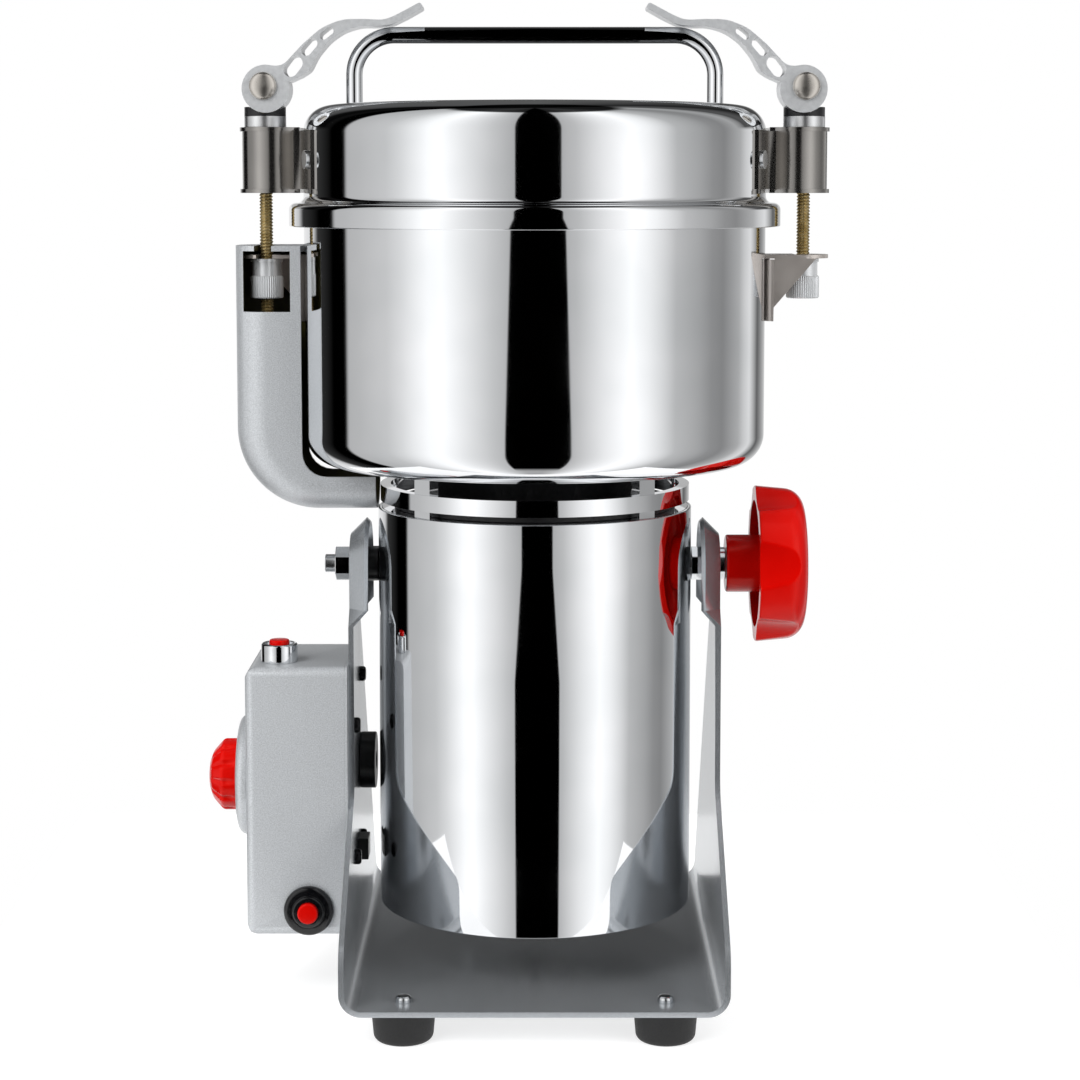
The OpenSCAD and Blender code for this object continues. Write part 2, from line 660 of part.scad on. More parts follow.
module cooling_fan() color("black") placed() translate([0, 0, fan_z]) {
    tube(fan_hub_r, shaft_r + run_gap, fan_h);
    tube(fan_r, fan_hub_r - cut, fan_plate_t);
    for (i = [0:fan_blades - 1]) rotate(i * 360 / fan_blades)
        block([fan_hub_r - cut, fan_r - cut], [-fan_plate_t / 2, fan_plate_t / 2], [0, fan_h]);
}

// Neck between the housing and the bowl
neck_r = motor_r - motor_wall - face_gap;
neck_ring_in = 3.4;
neck_ring_z = motor_z1 - neck_ring_in;
neck_inner_r = neck_inner_share * motor_r;
post_w = 9.4;
post_t = 5;
band_inset = 1;
band_t = 4.5;
band_up = 3.1;
band_h = 7;
band_r = [motor_r - band_inset - band_t, motor_r - band_inset];
band_z = [motor_z1 + band_up, motor_z1 + band_up + band_h];
carrier_r = carrier_shares * motor_r;
carrier_bore_r = 12;
carrier_flange_t = 3;
carrier_step_up = 5.6;
carrier_step_z = motor_z1 + carrier_step_up;
upper_bearing_r = 20;
upper_bearing_h = 12;
seal_t = 2;
upper_bearing_z = bowl_z0 - seal_t - upper_bearing_h;
seal_nose_r = 13.9;
seal_rise = 5;
seal_top = bowl_z0 + seal_rise;
journal_rise = 2;
journal_top = seal_top + journal_rise;
module neck_cage() color("silver") placed() {
    translate([0, 0, neck_ring_z]) tube(neck_r, neck_inner_r, motor_z1 - neck_ring_z);
    translate([0, 0, band_z[0]]) tube(band_r[1], band_r[0], band_z[1] - band_z[0]);
    for (a = [45:90:315]) rotate(a)
        block([neck_r - post_t, neck_r], [-post_w / 2, post_w / 2], [neck_ring_z, bowl_z0]);
}
module bearing_carrier() color("black") placed() difference() {
    rotate_extrude() polygon([[carrier_bore_r, journal_z0], [carrier_r[0], journal_z0],
        [carrier_r[1], motor_z1], [carrier_r[4], motor_z1], [carrier_r[4], motor_z1 + carrier_flange_t],
        [carrier_r[2], carrier_step_z], [carrier_r[3], bowl_z0], [upper_bearing_r + run_gap, bowl_z0],
        [upper_bearing_r + run_gap, upper_bearing_z], [carrier_bore_r, upper_bearing_z]]);
    at_bowl_screws() translate([0, 0, -screw_l - cut]) cylinder(r = screw_hole_r, h = screw_l + 2 * cut);
}
bowl_screw_r = 30;
bowl_floor_z = bowl_z0 + bowl_wall;
module at_bowl_screws() for (a = [45:90:315]) rotate(a) translate([bowl_screw_r, 0, bowl_floor_z])
    children();
module head_screws() color("gainsboro") placed() {
    at_cover_screws() machine_screw();
    at_bowl_screws() machine_screw();
}
module motor_bearings() color("gainsboro") placed() {
    translate([0, 0, bracket_z + bracket_h - lower_bearing_h])
        tube(lower_bearing_r, shaft_r + run_gap, lower_bearing_h);
    translate([0, 0, upper_bearing_z]) tube(upper_bearing_r, journal_r + run_gap, upper_bearing_h);
}
module shaft_seal() color("black") placed() {
    seal_r = journal_r + 2 * run_gap;
    translate([0, 0, bowl_z0 - seal_t + run_gap]) tube(upper_bearing_r, seal_r, seal_t - run_gap);
    translate([0, 0, bowl_z0 - cut]) tube(seal_nose_r, seal_r, seal_top - bowl_z0 + cut);
}

// Bowl with its two slotted brackets
bowl_lip = 4.1;
bowl_hole_r = 14;
plate_down = 17.8;
bracket_plate_z = bowl_z1 - plate_down;
bracket_t = 1.6;
bracket_w = 22;
bracket_slot = 7.2;
bracket_bend_r = 3.6;
tongue_down = 45;
gusset_down = 39;
tongue_z = bowl_z1 - tongue_down;
gusset_z = bowl_z1 - gusset_down;
gusset_reach = 4.7;
module grinding_bowl() color("silver") placed() difference() {
    rotate_extrude() polygon(rounded([[bowl_hole_r + run_gap, bowl_z0], [bowl_r, bowl_z0, bowl_corner],
        [bowl_r, bowl_z1 - bowl_wall], [bowl_r + bowl_lip, bowl_z1 - bowl_wall], [bowl_r + bowl_lip, bowl_z1],
        [bowl_r - bowl_wall, bowl_z1], [bowl_r - bowl_wall, bowl_floor_z, bowl_corner - bowl_wall],
        [bowl_hole_r + run_gap, bowl_floor_z]]));
    at_bowl_screws() translate([0, 0, -bowl_wall - cut]) cylinder(r = screw_hole_r, h = bowl_wall + 2 * cut);
}
// Slotted plate with one gusset, bent round to a web that is welded to the bowl's wall
bracket_z1 = bracket_plate_z + bracket_t;
module bowl_bracket() {
    difference() {
        union() {
            translate([rod_x, 0, bracket_plate_z]) cylinder(r = bracket_w / 2, h = bracket_t);
            block([bowl_r - bowl_wall, rod_x], [-bracket_w / 2, bracket_w / 2], [bracket_plate_z, bracket_z1]);
            block([bowl_r - bowl_wall, bowl_r + run_gap + bracket_t], [-bracket_w / 2, bracket_w / 2],
                [tongue_z, bracket_z1]);
            across_y(-bracket_w / 2, bracket_t - bracket_w / 2) polygon([[bowl_r - bowl_wall, tongue_z],
                [bowl_r + 2 * bracket_t, tongue_z], [bowl_r + 2 * bracket_t + run_gap, gusset_z],
                [rod_x + gusset_reach, bracket_plate_z], [bowl_r - bowl_wall, bracket_plate_z]]);
        }
        cylinder(r = bowl_r + run_gap, h = 2 * bowl_z1);
        difference() {
            block([0, bowl_r + bracket_bend_r], [-bracket_w, bracket_bend_r - bracket_w / 2],
                [tongue_z - cut, bracket_plate_z]);
            translate([bowl_r + bracket_bend_r, bracket_bend_r - bracket_w / 2, tongue_z - 2 * cut])
                cylinder(r = bracket_bend_r, h = bracket_z1 - tongue_z);
        }
        block([rod_x - bracket_slot / 2, rod_x + bracket_slot / 2], [0, bracket_w],
            [bracket_plate_z - cut, bracket_z1 + cut]);
        translate([rod_x, 0, bracket_plate_z - cut]) cylinder(r = bracket_slot / 2, h = bracket_t + 2 * cut);
    }
}
module bowl_brackets() color("silver") placed() {
    bowl_bracket();
    rotate(180) bowl_bracket();
}

// Elbow cover on the left, with the lid switch under the end of the rod
elbow_over = 13.2;
elbow_gap = 0.5;
elbow_under = 5.5;
elbow_lap = 1.1;
elbow_down = 12.2;
elbow_out = rod_x + elbow_over;
elbow_in = bowl_r + elbow_gap;
elbow_z = [motor_z1 - elbow_lap, bowl_z0 - elbow_under];
elbow_top = bowl_z1 - elbow_down;
elbow_end = motor_r + face_gap;
elbow_w = 34;
elbow_wall = 1.8;
elbow_bend_r = 36;
elbow_edge_r = 14;
elbow_inner_r = 10.5;
elbow_top_t = 2.8;
notch_half = 3.7;
notch_x = [rod_x - notch_half, rod_x + notch_half];
window_in = 11.7;
window_out = 8.9;
window_top = 2.4;
window_h = 26.1;
window_x = [rod_x - window_in, rod_x + window_out];
window_z = [elbow_top - window_top - window_h, elbow_top - window_top];
rod_down = 43;
rod_z0 = bowl_z1 - rod_down;
switch_gap = 3.1;
switch_h = 15.9;
switch_in = 9.3;
switch_x = [rod_x - switch_in, elbow_out - elbow_wall - free_gap];
switch_z = [rod_z0 - switch_gap - switch_h, rod_z0 - switch_gap];
switch_w = 10;
module elbow_outline(wall) polygon(rounded([[wall - elbow_out, elbow_top + cut],
    [wall - elbow_out, elbow_z[0] + wall, elbow_bend_r - wall], [-elbow_end + wall, elbow_z[0] + wall],
    [-elbow_end + wall, elbow_z[1]], [wall / 2 - elbow_in, elbow_z[1], elbow_inner_r],
    [wall / 2 - elbow_in, elbow_top + cut]]));
// Sweep of a section with rounded outer edges: up, round the bend and along to the housing
module elbow_section(reach, wall) polygon(rounded([[-reach, wall - elbow_w / 2],
    [elbow_bend_r - wall, wall - elbow_w / 2, elbow_edge_r - wall],
    [elbow_bend_r - wall, elbow_w / 2 - wall, elbow_edge_r - wall], [-reach, elbow_w / 2 - wall]]));
module elbow_sweep(wall) translate([elbow_bend_r - elbow_out, 0, elbow_z[0] + elbow_bend_r]) {
    mirror([1, 0, 0]) linear_extrude(elbow_top) elbow_section(elbow_bend_r, wall);
    rotate([90, 0, 0]) rotate([0, 0, 180]) rotate_extrude(angle = 90) elbow_section(0, wall);
    rotate([0, 90, 0]) linear_extrude(elbow_out) elbow_section(elbow_bend_r, wall);
}
module elbow_cover() color("silver") placed() difference() {
    intersection() {
        across_y(-elbow_w, elbow_w) intersection() {
            elbow_outline(0);
            translate([-elbow_out, elbow_z[0]]) square([elbow_out, elbow_top - elbow_z[0]]);
        }
        elbow_sweep(0);
    }
    difference() {
        intersection() {
            across_y(-elbow_w, elbow_w) union() {
                elbow_outline(elbow_wall);
                translate([-elbow_in - cut, elbow_z[1] + elbow_inner_r]) square([2 * cut, elbow_top]);
            }
            elbow_sweep(elbow_wall);
        }
        block([-elbow_out, -elbow_end], [-elbow_w, elbow_w], [elbow_top - elbow_top_t, elbow_top + 2 * cut]);
    }
    block([-notch_x[1], -notch_x[0]], [-elbow_w, rod_r + cut],
        [elbow_top - elbow_top_t - cut, elbow_top + cut]);
    block([-window_x[1], -window_x[0]], [-elbow_w, 0], [window_z[0], window_z[1]]);
}
module lid_switch() color("dimgray") placed()
    block([-switch_x[1], -switch_x[0]], [-switch_w / 2, switch_w / 2], switch_z);

// Shaft, blades, spacers and cap nut
blade_w = 22;
blade_t = 2.5;
blade_up = [12.5, 24.5, 37.5];
blade_z = [for (u = blade_up) bowl_floor_z + u];
blade_turn = [15, 75, 135];
blade_reach = bowl_r - bowl_wall - blade_gap;
blade_tip = 8;
spacer_out_r = 12;
blade_nut_r = 9;
blade_nut_h = 9;
nut_dome_r = 7;
nut_dome_h = 6;
nut_z = blade_z[2] + blade_t + run_gap;
shaft_top = nut_z + blade_nut_h;
module motor_shaft() color("gainsboro") placed() {
    translate([0, 0, shaft_z0]) cylinder(r = shaft_r, h = shaft_top - shaft_z0);
    translate([0, 0, journal_z0]) cylinder(r = journal_r, h = journal_top - journal_z0);
}
module blade() linear_extrude(blade_t) difference() {
    polygon([[-blade_reach, blade_w / 2], [-blade_reach + blade_tip, -blade_w / 2], [0, -spacer_out_r],
        [blade_reach - blade_tip, -blade_w / 2 + blade_tip / 2], [blade_reach, -blade_w / 2],
        [blade_reach - blade_tip, blade_w / 2], [0, spacer_out_r], [blade_tip - blade_reach, blade_w / 2]]);
    circle(r = shaft_r + run_gap);
}
module grinding_blades() color("silver") placed() for (i = [0:len(blade_z) - 1])
    translate([0, 0, blade_z[i]]) rotate(blade_turn[i]) blade();
module blade_spacers() color("silver") placed() {
    spacer_z = journal_top + run_gap;
    translate([0, 0, spacer_z]) tube(spacer_out_r, shaft_r + run_gap, blade_z[0] - run_gap - spacer_z);
    for (i = [0:1]) translate([0, 0, blade_z[i] + blade_t + run_gap])
        tube(spacer_out_r, shaft_r + run_gap, blade_z[i + 1] - blade_z[i] - blade_t - 2 * run_gap);
}
module blade_nut() color("gainsboro") placed() translate([0, 0, nut_z]) difference() {
    union() {
        cylinder(r = blade_nut_r, h = blade_nut_h, $fn = 6);
        rotate_extrude() polygon(rounded([[0, 0], [nut_dome_r, 0],
            [nut_dome_r, blade_nut_h + nut_dome_h, nut_dome_h], [0, blade_nut_h + nut_dome_h]]));
    }
    translate([0, 0, -cut]) cylinder(r = shaft_r + run_gap, h = blade_nut_h + 2 * cut);
}

// Lid: a domed shell with a skirt that covers the bowl's rim
lid_bulge_r = bowl_r + run_gap;
crown_drop = 1.8;
crown_r = lid_bulge_r - lid_corner;
shoulder_r = 3;
seal_ring_t = 3.2;
lid_nut_r = 6.5;
lid_nut_h = 4.8;
leg_r = handle_d / 2;
handle_x = bowl_r - handle_inset;
leg_z0 = lid_z1 - lid_wall - crown_drop - 2 * lid_nut_h;
handle_bend_r = 17.4;
handle_z = lid_z1 + handle_h - leg_r;
ear_screw_r = 4;
ear_screw_h = 1.6;
ear_screw_turn = 20;
ear_screw_l = 5;
module lid_shell() color("silver") placed() difference() {
    rotate_extrude() polygon(rounded([[0, lid_z1], [crown_r / 2, lid_z1 - crown_drop / 3],
        [lid_bulge_r, lid_z1 - crown_drop, lid_corner],
        [lid_bulge_r, skirt_z1, shoulder_r], [skirt_r, skirt_z1, shoulder_r], [skirt_r, skirt_z0],
        [skirt_r - lid_wall, skirt_z0], [skirt_r - lid_wall, skirt_z1 - lid_wall, shoulder_r - lid_wall],
        [lid_bulge_r - lid_wall, skirt_z1 - lid_wall, shoulder_r + lid_wall],
        [lid_bulge_r - lid_wall, lid_z1 - crown_drop - lid_wall, lid_corner - lid_wall],
        [crown_r / 2, lid_z1 - crown_drop / 3 - lid_wall], [0, lid_z1 - lid_wall]]));
    for (s = [-1, 1]) translate([s * handle_x, 0, leg_z0]) cylinder(r = leg_r + run_gap, h = lid_h);
    at_ear_screws() translate([0, 0, -ear_screw_l - cut]) cylinder(r = screw_hole_r, h = ear_screw_l + 2 * cut);
}
module lid_seal() color("black") placed() translate([0, 0, bowl_z1 + free_gap])
    tube(skirt_r - lid_wall - face_gap, bowl_r, seal_ring_t);
module lid_handle() color("silver") placed() {
    each_side() {
        translate([handle_x, 0, leg_z0]) cylinder(r = leg_r, h = handle_z - handle_bend_r - leg_z0);
        translate([handle_x - handle_bend_r, 0, handle_z - handle_bend_r]) rotate([90, 0, 0])
            rotate_extrude(angle = 90) translate([handle_bend_r, 0]) circle(r = leg_r);
    }
    facing_right(handle_bend_r - handle_x, 0, handle_z)
        cylinder(r = leg_r, h = 2 * (handle_x - handle_bend_r));
}
latch_up = 5.9;
latch_under_corner = 0.5;
ear_z1 = [skirt_z1 + latch_up, lid_z1 - lid_corner - latch_under_corner];
module at_ear_screws() for (side = [0, 180], a = [-ear_screw_turn, ear_screw_turn]) rotate(side + a)
    translate([lid_bulge_r + bowl_wall, 0, (ear_z1[0] + ear_z1[1]) / 2]) rotate([0, 90, 0]) children();
module lid_fasteners() color("gainsboro") placed() {
    for (s = [-1, 1]) translate([s * handle_x, 0, leg_z0 + lid_nut_h])
        hex_nut(lid_nut_r, leg_r + run_gap, lid_nut_h);
    at_ear_screws() {
        translate([0, 0, -ear_screw_l]) cylinder(r = screw_r, h = ear_screw_l);
        cylinder(r = ear_screw_r, h = ear_screw_h);
    }
}

// Latches: a housing, collar and saddle on the lid carry each rod; a lever with an eccentric boss lifts it
housing_wall = 1.5;
latch_ear_w = 78;
latch_neck_half = 9;
latch_plate_t = 1.7;
collar_r = 9.1;
collar_h = 4.9;
saddle_r = 9;
saddle_h = 3.9;
saddle_gap = 0.7;
rod_hole_r = rod_r + free_gap;
collar_hole_r = rod_r + free_gap + face_gap;
pin_x = rod_x;
cam_turn = 47.5;
pin_r = 4;
pin_head_r = 6.15;
pin_head_h = 2.9;
rod_seat_gap = 0.02;
nut_flange_r = 6.95;
nut_flange_t = 1.4;
nut_neck_r = 6.4;
nut_neck_h = 6;
knurl_r = 7.2;
knurl_h = 9.8;
nut_z0 = bracket_plate_z - free_gap - nut_flange_t - nut_neck_h - knurl_h;
rod_in = 1.5;
collar_z = ear_z1[1] + latch_plate_t;
saddle_z = collar_z + collar_h;
saddle_floor = 1;
boss_x = pin_x - cam_offset * cos(cam_turn);
boss_z = saddle_z + saddle_floor + saddle_gap + boss_r - 2 * face_gap;
pin_z = boss_z + cam_offset * sin(cam_turn);
module latch_housing() {
    difference() {
        intersection() {
            translate([0, 0, ear_z1[0]])
                tube(lid_bulge_r + bowl_wall, lid_bulge_r + run_gap, ear_z1[1] - ear_z1[0]);
            block([0, rod_x], [-latch_ear_w / 2, latch_ear_w / 2], ear_z1);
        }
        at_ear_screws() translate([0, 0, -ear_screw_l]) cylinder(r = screw_hole_r, h = 2 * ear_screw_l);
    }
    difference() {
        union() {
            for (z = [ear_z1[0] - latch_plate_t, ear_z1[1]]) housing_plan(plate_lip, z, latch_plate_t);
            housing_plan(0, ear_z1[0], ear_z1[1] - ear_z1[0]);
        }
        housing_plan(-housing_wall, ear_z1[0], ear_z1[1] - ear_z1[0]);
        cylinder(r = lid_bulge_r + bowl_wall - run_gap, h = 2 * lid_z1);
        translate([rod_x, 0, ear_z1[0] - latch_plate_t - cut])
            cylinder(r = rod_hole_r, h = collar_z + 2 * cut - ear_z1[0] + latch_plate_t);
    }
}
// Round drum with a short neck to the lid's wall
module housing_plan(over, z, h) {
    translate([latch_x, 0, z]) cylinder(r = housing_r + over, h = h);
    block([bowl_r, latch_x], [-latch_neck_half - over, latch_neck_half + over], [z, z + h]);
}
module latch_housings() color("silver") placed() each_side() latch_housing();
module latch_collars() color("silver") placed() each_side() translate([rod_x, 0, collar_z])
    tube(collar_r, collar_hole_r, collar_h);
module latch_saddles() color("black") placed() each_side() difference() {
    translate([rod_x, 0, saddle_z]) tube(saddle_r, collar_hole_r, saddle_h);
    facing_back(boss_x, -2 * saddle_r, boss_z + 2 * face_gap)
        cylinder(r = boss_r + saddle_gap, h = 4 * saddle_r);
}
module latch_rod(z) {
    translate([rod_x, 0, z]) cylinder(r = rod_r, h = pin_z + pin_r / 2 - z);
    difference() {
        facing_back(pin_x, 0, pin_z) for (m = [0, 1]) mirror([0, 0, m]) {
            cylinder(r = pin_r, h = lever_w / 2 + face_gap + cut);
            translate([0, 0, lever_w / 2 + face_gap]) rotate_extrude() polygon(rounded([[0, 0],
                [pin_head_r, 0], [pin_head_r, pin_head_h, pin_head_h / 2], [0, pin_head_h]]));
        }
        translate([rod_x, 0, pin_z - 2 * pin_r]) cylinder(r = rod_r + rod_seat_gap, h = 4 * pin_r);
    }
}
module left_latch_rod() color("darkgoldenrod") placed() mirror([1, 0, 0]) latch_rod(rod_z0);
module right_latch_rod() color("darkgoldenrod") placed() latch_rod(nut_z0 + rod_in);

// Lever seen from the side, as shares of its reach: along, up, corner radius
lever_shares = [[0, 0.151], [0.105, 0.14, 0.1], [0.24, 0.283, 0.3], [0.36, 0.385, 0.3],
    [0.49, 0.437, 0.3], [0.63, 0.438, 0.4], [0.76, 0.432, 0.2], [0.84, 0.468, 0.3],
    [0.985, 0.545, 0.016], [1.005, 0.508, 0.016], [0.9, 0.449, 0.3], [0.8, 0.4, 0.2],
    [0.7, 0.392, 0.3], [0.6, 0.394, 0.3], [0.49, 0.36, 0.3], [0.4, 0.295, 0.3], [0.325, 0.205, 0.3],
    [0.28, 0.115, 0.08], [0.225, 0.078, 0.04], [0.14, 0.04]];
// Holes through the lever, as shares: along, up, half length, half width
hole_shares = [[0.176, 0.141, 0.072, 0.046], [0.281, 0.262, 0.062, 0.032], [0.391, 0.348, 0.05, 0.024]];
hole_turn = [52, 49, 38];
slot_half = rod_r + 2 * face_gap;
module lever_hole(s, turn) let (long = s[2] * lever_reach, wide = s[3] * lever_reach)
    translate([s[0] * lever_reach, s[1] * lever_reach]) rotate(turn) {
        square([2 * (long - wide), 2 * wide], center = true);
        for (e = [wide - long, long - wide]) translate([e, 0]) circle(r = wide);
    }
module latch_lever() difference() {
    translate([boss_x, 0, boss_z]) {
        facing_back(0, -lever_w / 2, 0) cylinder(r = boss_r, h = lever_w);
        across_y(-lever_w / 2, lever_w / 2) mirror([1, 0])
            polygon(concat([[0, 0]], rounded([for (p = lever_shares) p * lever_reach])));
    }
    translate([boss_x, 0, boss_z]) across_y(-lever_w, lever_w) mirror([1, 0])
        for (i = [0:len(hole_shares) - 1]) lever_hole(hole_shares[i], hole_turn[i]);
    facing_back(pin_x, -lever_w, pin_z) cylinder(r = pin_r + run_gap, h = 2 * lever_w);
    block([pin_x - slot_half, pin_x + 2 * boss_r], [-slot_half, slot_half],
        [pin_z - 2 * boss_r, pin_z + 2 * boss_r]);
}
module left_latch_lever() color("silver") placed() mirror([1, 0, 0]) latch_lever();
module right_latch_lever() color("silver") placed() latch_lever();

module latch_nut() translate([rod_x, 0, bracket_plate_z - free_gap]) rotate([180, 0, 0])
    rotate_extrude() polygon([[rod_r + run_gap, 0], [nut_flange_r, 0], [nut_flange_r, nut_flange_t],
        [nut_neck_r, nut_flange_t], [nut_neck_r, nut_flange_t + nut_neck_h],
        [knurl_r, nut_flange_t + nut_neck_h], [knurl_r, nut_flange_t + nut_neck_h + knurl_h],
        [rod_r + run_gap, nut_flange_t + nut_neck_h + knurl_h]]);
module left_latch_nut() color("silver") placed() mirror([1, 0, 0]) latch_nut();
module right_latch_nut() color("silver") placed() latch_nut();

base_frame();
rubber_feet();
stand_screws();
control_box();
box_back_plate();
timer_dial_plate();
timer_module();
power_button_collar();
power_switch();
reset_collar();
overload_breaker();
cable_glands();
timer_spindle();
timer_knob();
power_button_cap();
reset_button();
pivot_bolt();
pivot_stud();
pivot_nuts();
pivot_spacers();
motor_housing();
bottom_cover();
head_screws();
lower_bracket();
stator_core();
stator_windings();
brush_holders();
carbon_brushes();
motor_bearings();
neck_cage();
bearing_carrier();
shaft_seal();
grinding_bowl();
bowl_brackets();
elbow_cover();
lid_switch();
star_knob();
knob_insert();
knob_washer();
motor_shaft();
armature_core();
armature_windings();
commutator();
cooling_fan();
grinding_blades();
blade_spacers();
blade_nut();
lid_shell();
lid_seal();
lid_handle();
lid_fasteners();
latch_housings();
latch_collars();
latch_saddles();
left_latch_rod();
right_latch_rod();
left_latch_lever();
right_latch_lever();
left_latch_nut();
right_latch_nut();
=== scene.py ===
"""Electric grain mill: the finish of every piece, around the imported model. Metres, Z up."""

import json
import math

import bmesh
import bpy
import numpy as np
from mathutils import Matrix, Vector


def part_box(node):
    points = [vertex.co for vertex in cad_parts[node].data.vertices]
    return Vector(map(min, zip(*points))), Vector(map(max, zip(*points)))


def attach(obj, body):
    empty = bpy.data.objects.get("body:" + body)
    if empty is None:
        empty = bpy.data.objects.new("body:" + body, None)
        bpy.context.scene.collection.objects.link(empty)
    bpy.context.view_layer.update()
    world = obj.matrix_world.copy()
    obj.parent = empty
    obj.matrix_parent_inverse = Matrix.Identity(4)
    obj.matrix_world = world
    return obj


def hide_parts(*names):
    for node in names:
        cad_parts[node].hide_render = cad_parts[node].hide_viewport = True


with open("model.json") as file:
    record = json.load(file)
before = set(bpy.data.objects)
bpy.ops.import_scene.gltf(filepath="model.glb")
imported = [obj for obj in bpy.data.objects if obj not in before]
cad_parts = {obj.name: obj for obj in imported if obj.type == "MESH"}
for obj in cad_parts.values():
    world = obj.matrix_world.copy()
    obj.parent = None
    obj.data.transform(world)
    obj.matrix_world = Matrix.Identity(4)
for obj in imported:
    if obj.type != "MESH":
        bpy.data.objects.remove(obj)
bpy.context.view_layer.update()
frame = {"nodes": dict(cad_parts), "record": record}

# Camera: level with the lid, a little over a metre in front, tilted down a little, with a small shift
# that moves the frame down. The mill's own axis is the middle of its motor housing, beside the row's origin.
MM = 0.001
housing_low, housing_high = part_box("motor_housing")
axis_x = (housing_low.x + housing_high.x) / 2
axis_y = (housing_low.y + housing_high.y) / 2
eye_distance = 1100 * MM
eye_height = 358 * MM
eye_tilt = 5.68
eye_beside = 2.3 * MM


def placed(name, data):
    """A new object with this data, linked into the scene."""
    thing = bpy.data.objects.new(name, data)
    bpy.context.scene.collection.objects.link(thing)
    return thing


camera_data = bpy.data.cameras.new("camera")
camera_data.sensor_width = 36
camera_data.lens = 83.6
camera_data.shift_y = -0.1
camera = placed("camera", camera_data)
camera.location = (axis_x + eye_beside, axis_y - eye_distance, eye_height)
camera.rotation_euler = (math.radians(90 - eye_tilt), 0, 0)
bpy.context.scene.camera = camera
bpy.context.scene.view_settings.view_transform = "Standard"

# Studio: two tall light panels with a dark gap between them, which is wider further down, a dark gap at
# each side, a low white wall behind and a dark ceiling. The camera itself sees plain white.


def add(tree, kind, links=None, inputs=None, **settings):
    """A new node of that kind, with its settings, the values of its inputs and the links into them."""
    node = tree.nodes.new(kind)
    for name, value in settings.items():
        setattr(node, name, value)
    for name, value in (inputs or {}).items():
        node.inputs[name].default_value = value
    for name, source in (links or {}).items():
        tree.links.new(source, node.inputs[name])
    return node


world = bpy.data.worlds.new("studio")
bpy.context.scene.world = world
world.use_nodes = True
tree = world.node_tree
tree.nodes.clear()
direction = add(tree, "ShaderNodeTexCoord").outputs["Generated"]
parts = add(tree, "ShaderNodeSeparateXYZ", {"Vector": direction}).outputs
forwards = add(tree, "ShaderNodeMath", {0: parts["Y"]}, {1: -1}, operation="MULTIPLY").outputs[0]
turn = add(tree, "ShaderNodeMath", {0: parts["X"], 1: forwards}, operation="ARCTAN2").outputs[0]
# Degrees round from the front, to the left below zero, and how bright the panels are there.
round_stops = ((-180, 0.7), (-150, 0.65), (-142, 0.5), (-136, 0.03), (-118, 0), (-107, 0), (-104.5, 0.41),
               (-95, 0.44), (-77, 0.53), (-68, 0.66), (-60, 0.82), (-53, 0.96), (-46, 1), (-33, 0.75),
               (-20, 0.52), (-8, 0.36), (8, 0.34), (20, 0.46), (34, 0.75), (48, 1), (57, 0.85), (65, 0.66),
               (73, 0.45), (88, 0.34), (97, 0.25), (106, 0.215), (121, 0.37), (127, 0.53), (134, 0.65),
               (146, 0.1), (180, 0.7))
place = add(tree, "ShaderNodeMath", {0: turn}, {1: 0.5 / math.pi, 2: 0.5}, operation="MULTIPLY_ADD")
around = add(tree, "ShaderNodeValToRGB", {"Fac": place.outputs[0]})
# How far up a direction points, from -1 to 1, and how bright the panels are there: they end near the top.
rise_stops = ((-1, 1), (0.91, 1), (0.935, 0.03), (1, 0.03))
place = add(tree, "ShaderNodeMath", {0: parts["Z"]}, {1: 0.5, 2: 0.5}, operation="MULTIPLY_ADD")
upright = add(tree, "ShaderNodeValToRGB", {"Fac": place.outputs[0]})
for node, stops, half_turn in ((around, round_stops, 180), (upright, rise_stops, 1)):
    elements = node.color_ramp.elements
    while len(elements) < len(stops):
        elements.new(1.0)
    for element, (at, level) in zip(elements, stops):
        element.position = at / half_turn / 2 + 0.5
        element.color = (level, level, level, 1)
# The gap: where its soft edge starts and ends on each side of its middle, how fast it widens downwards
# and how far, how far right of the front its middle stands, and the depths between which it closes.
gap_half = (math.radians(10.8), math.radians(11.3))
gap_widening, gap_widest = 3, 1.45
gap_turn = math.radians(1.8)
gap_foot = (-0.81, -0.91)
spread = add(tree, "ShaderNodeMath", {0: parts["Z"]}, {1: -gap_widening, 2: 1}, operation="MULTIPLY_ADD")
spread = add(tree, "ShaderNodeMath", {0: spread.outputs[0]}, {1: 1}, operation="MAXIMUM")
spread = add(tree, "ShaderNodeMath", {0: spread.outputs[0]}, {1: gap_widest}, operation="MINIMUM").outputs[0]
aside = add(tree, "ShaderNodeMath", {0: turn}, {1: -gap_turn}, operation="ADD").outputs[0]
aside = add(tree, "ShaderNodeMath", {0: aside}, operation="ABSOLUTE").outputs[0]
beside = add(tree, "ShaderNodeMath", {0: aside, 1: spread}, operation="DIVIDE").outputs[0]
gap = add(tree, "ShaderNodeMapRange", {0: beside}, {1: gap_half[0], 2: gap_half[1]}).outputs[0]
below = add(tree, "ShaderNodeMapRange", {0: parts["Z"]}, {1: gap_foot[0], 2: gap_foot[1]}).outputs[0]
gap = add(tree, "ShaderNodeMath", {0: gap, 1: below}, operation="MAXIMUM").outputs[0]
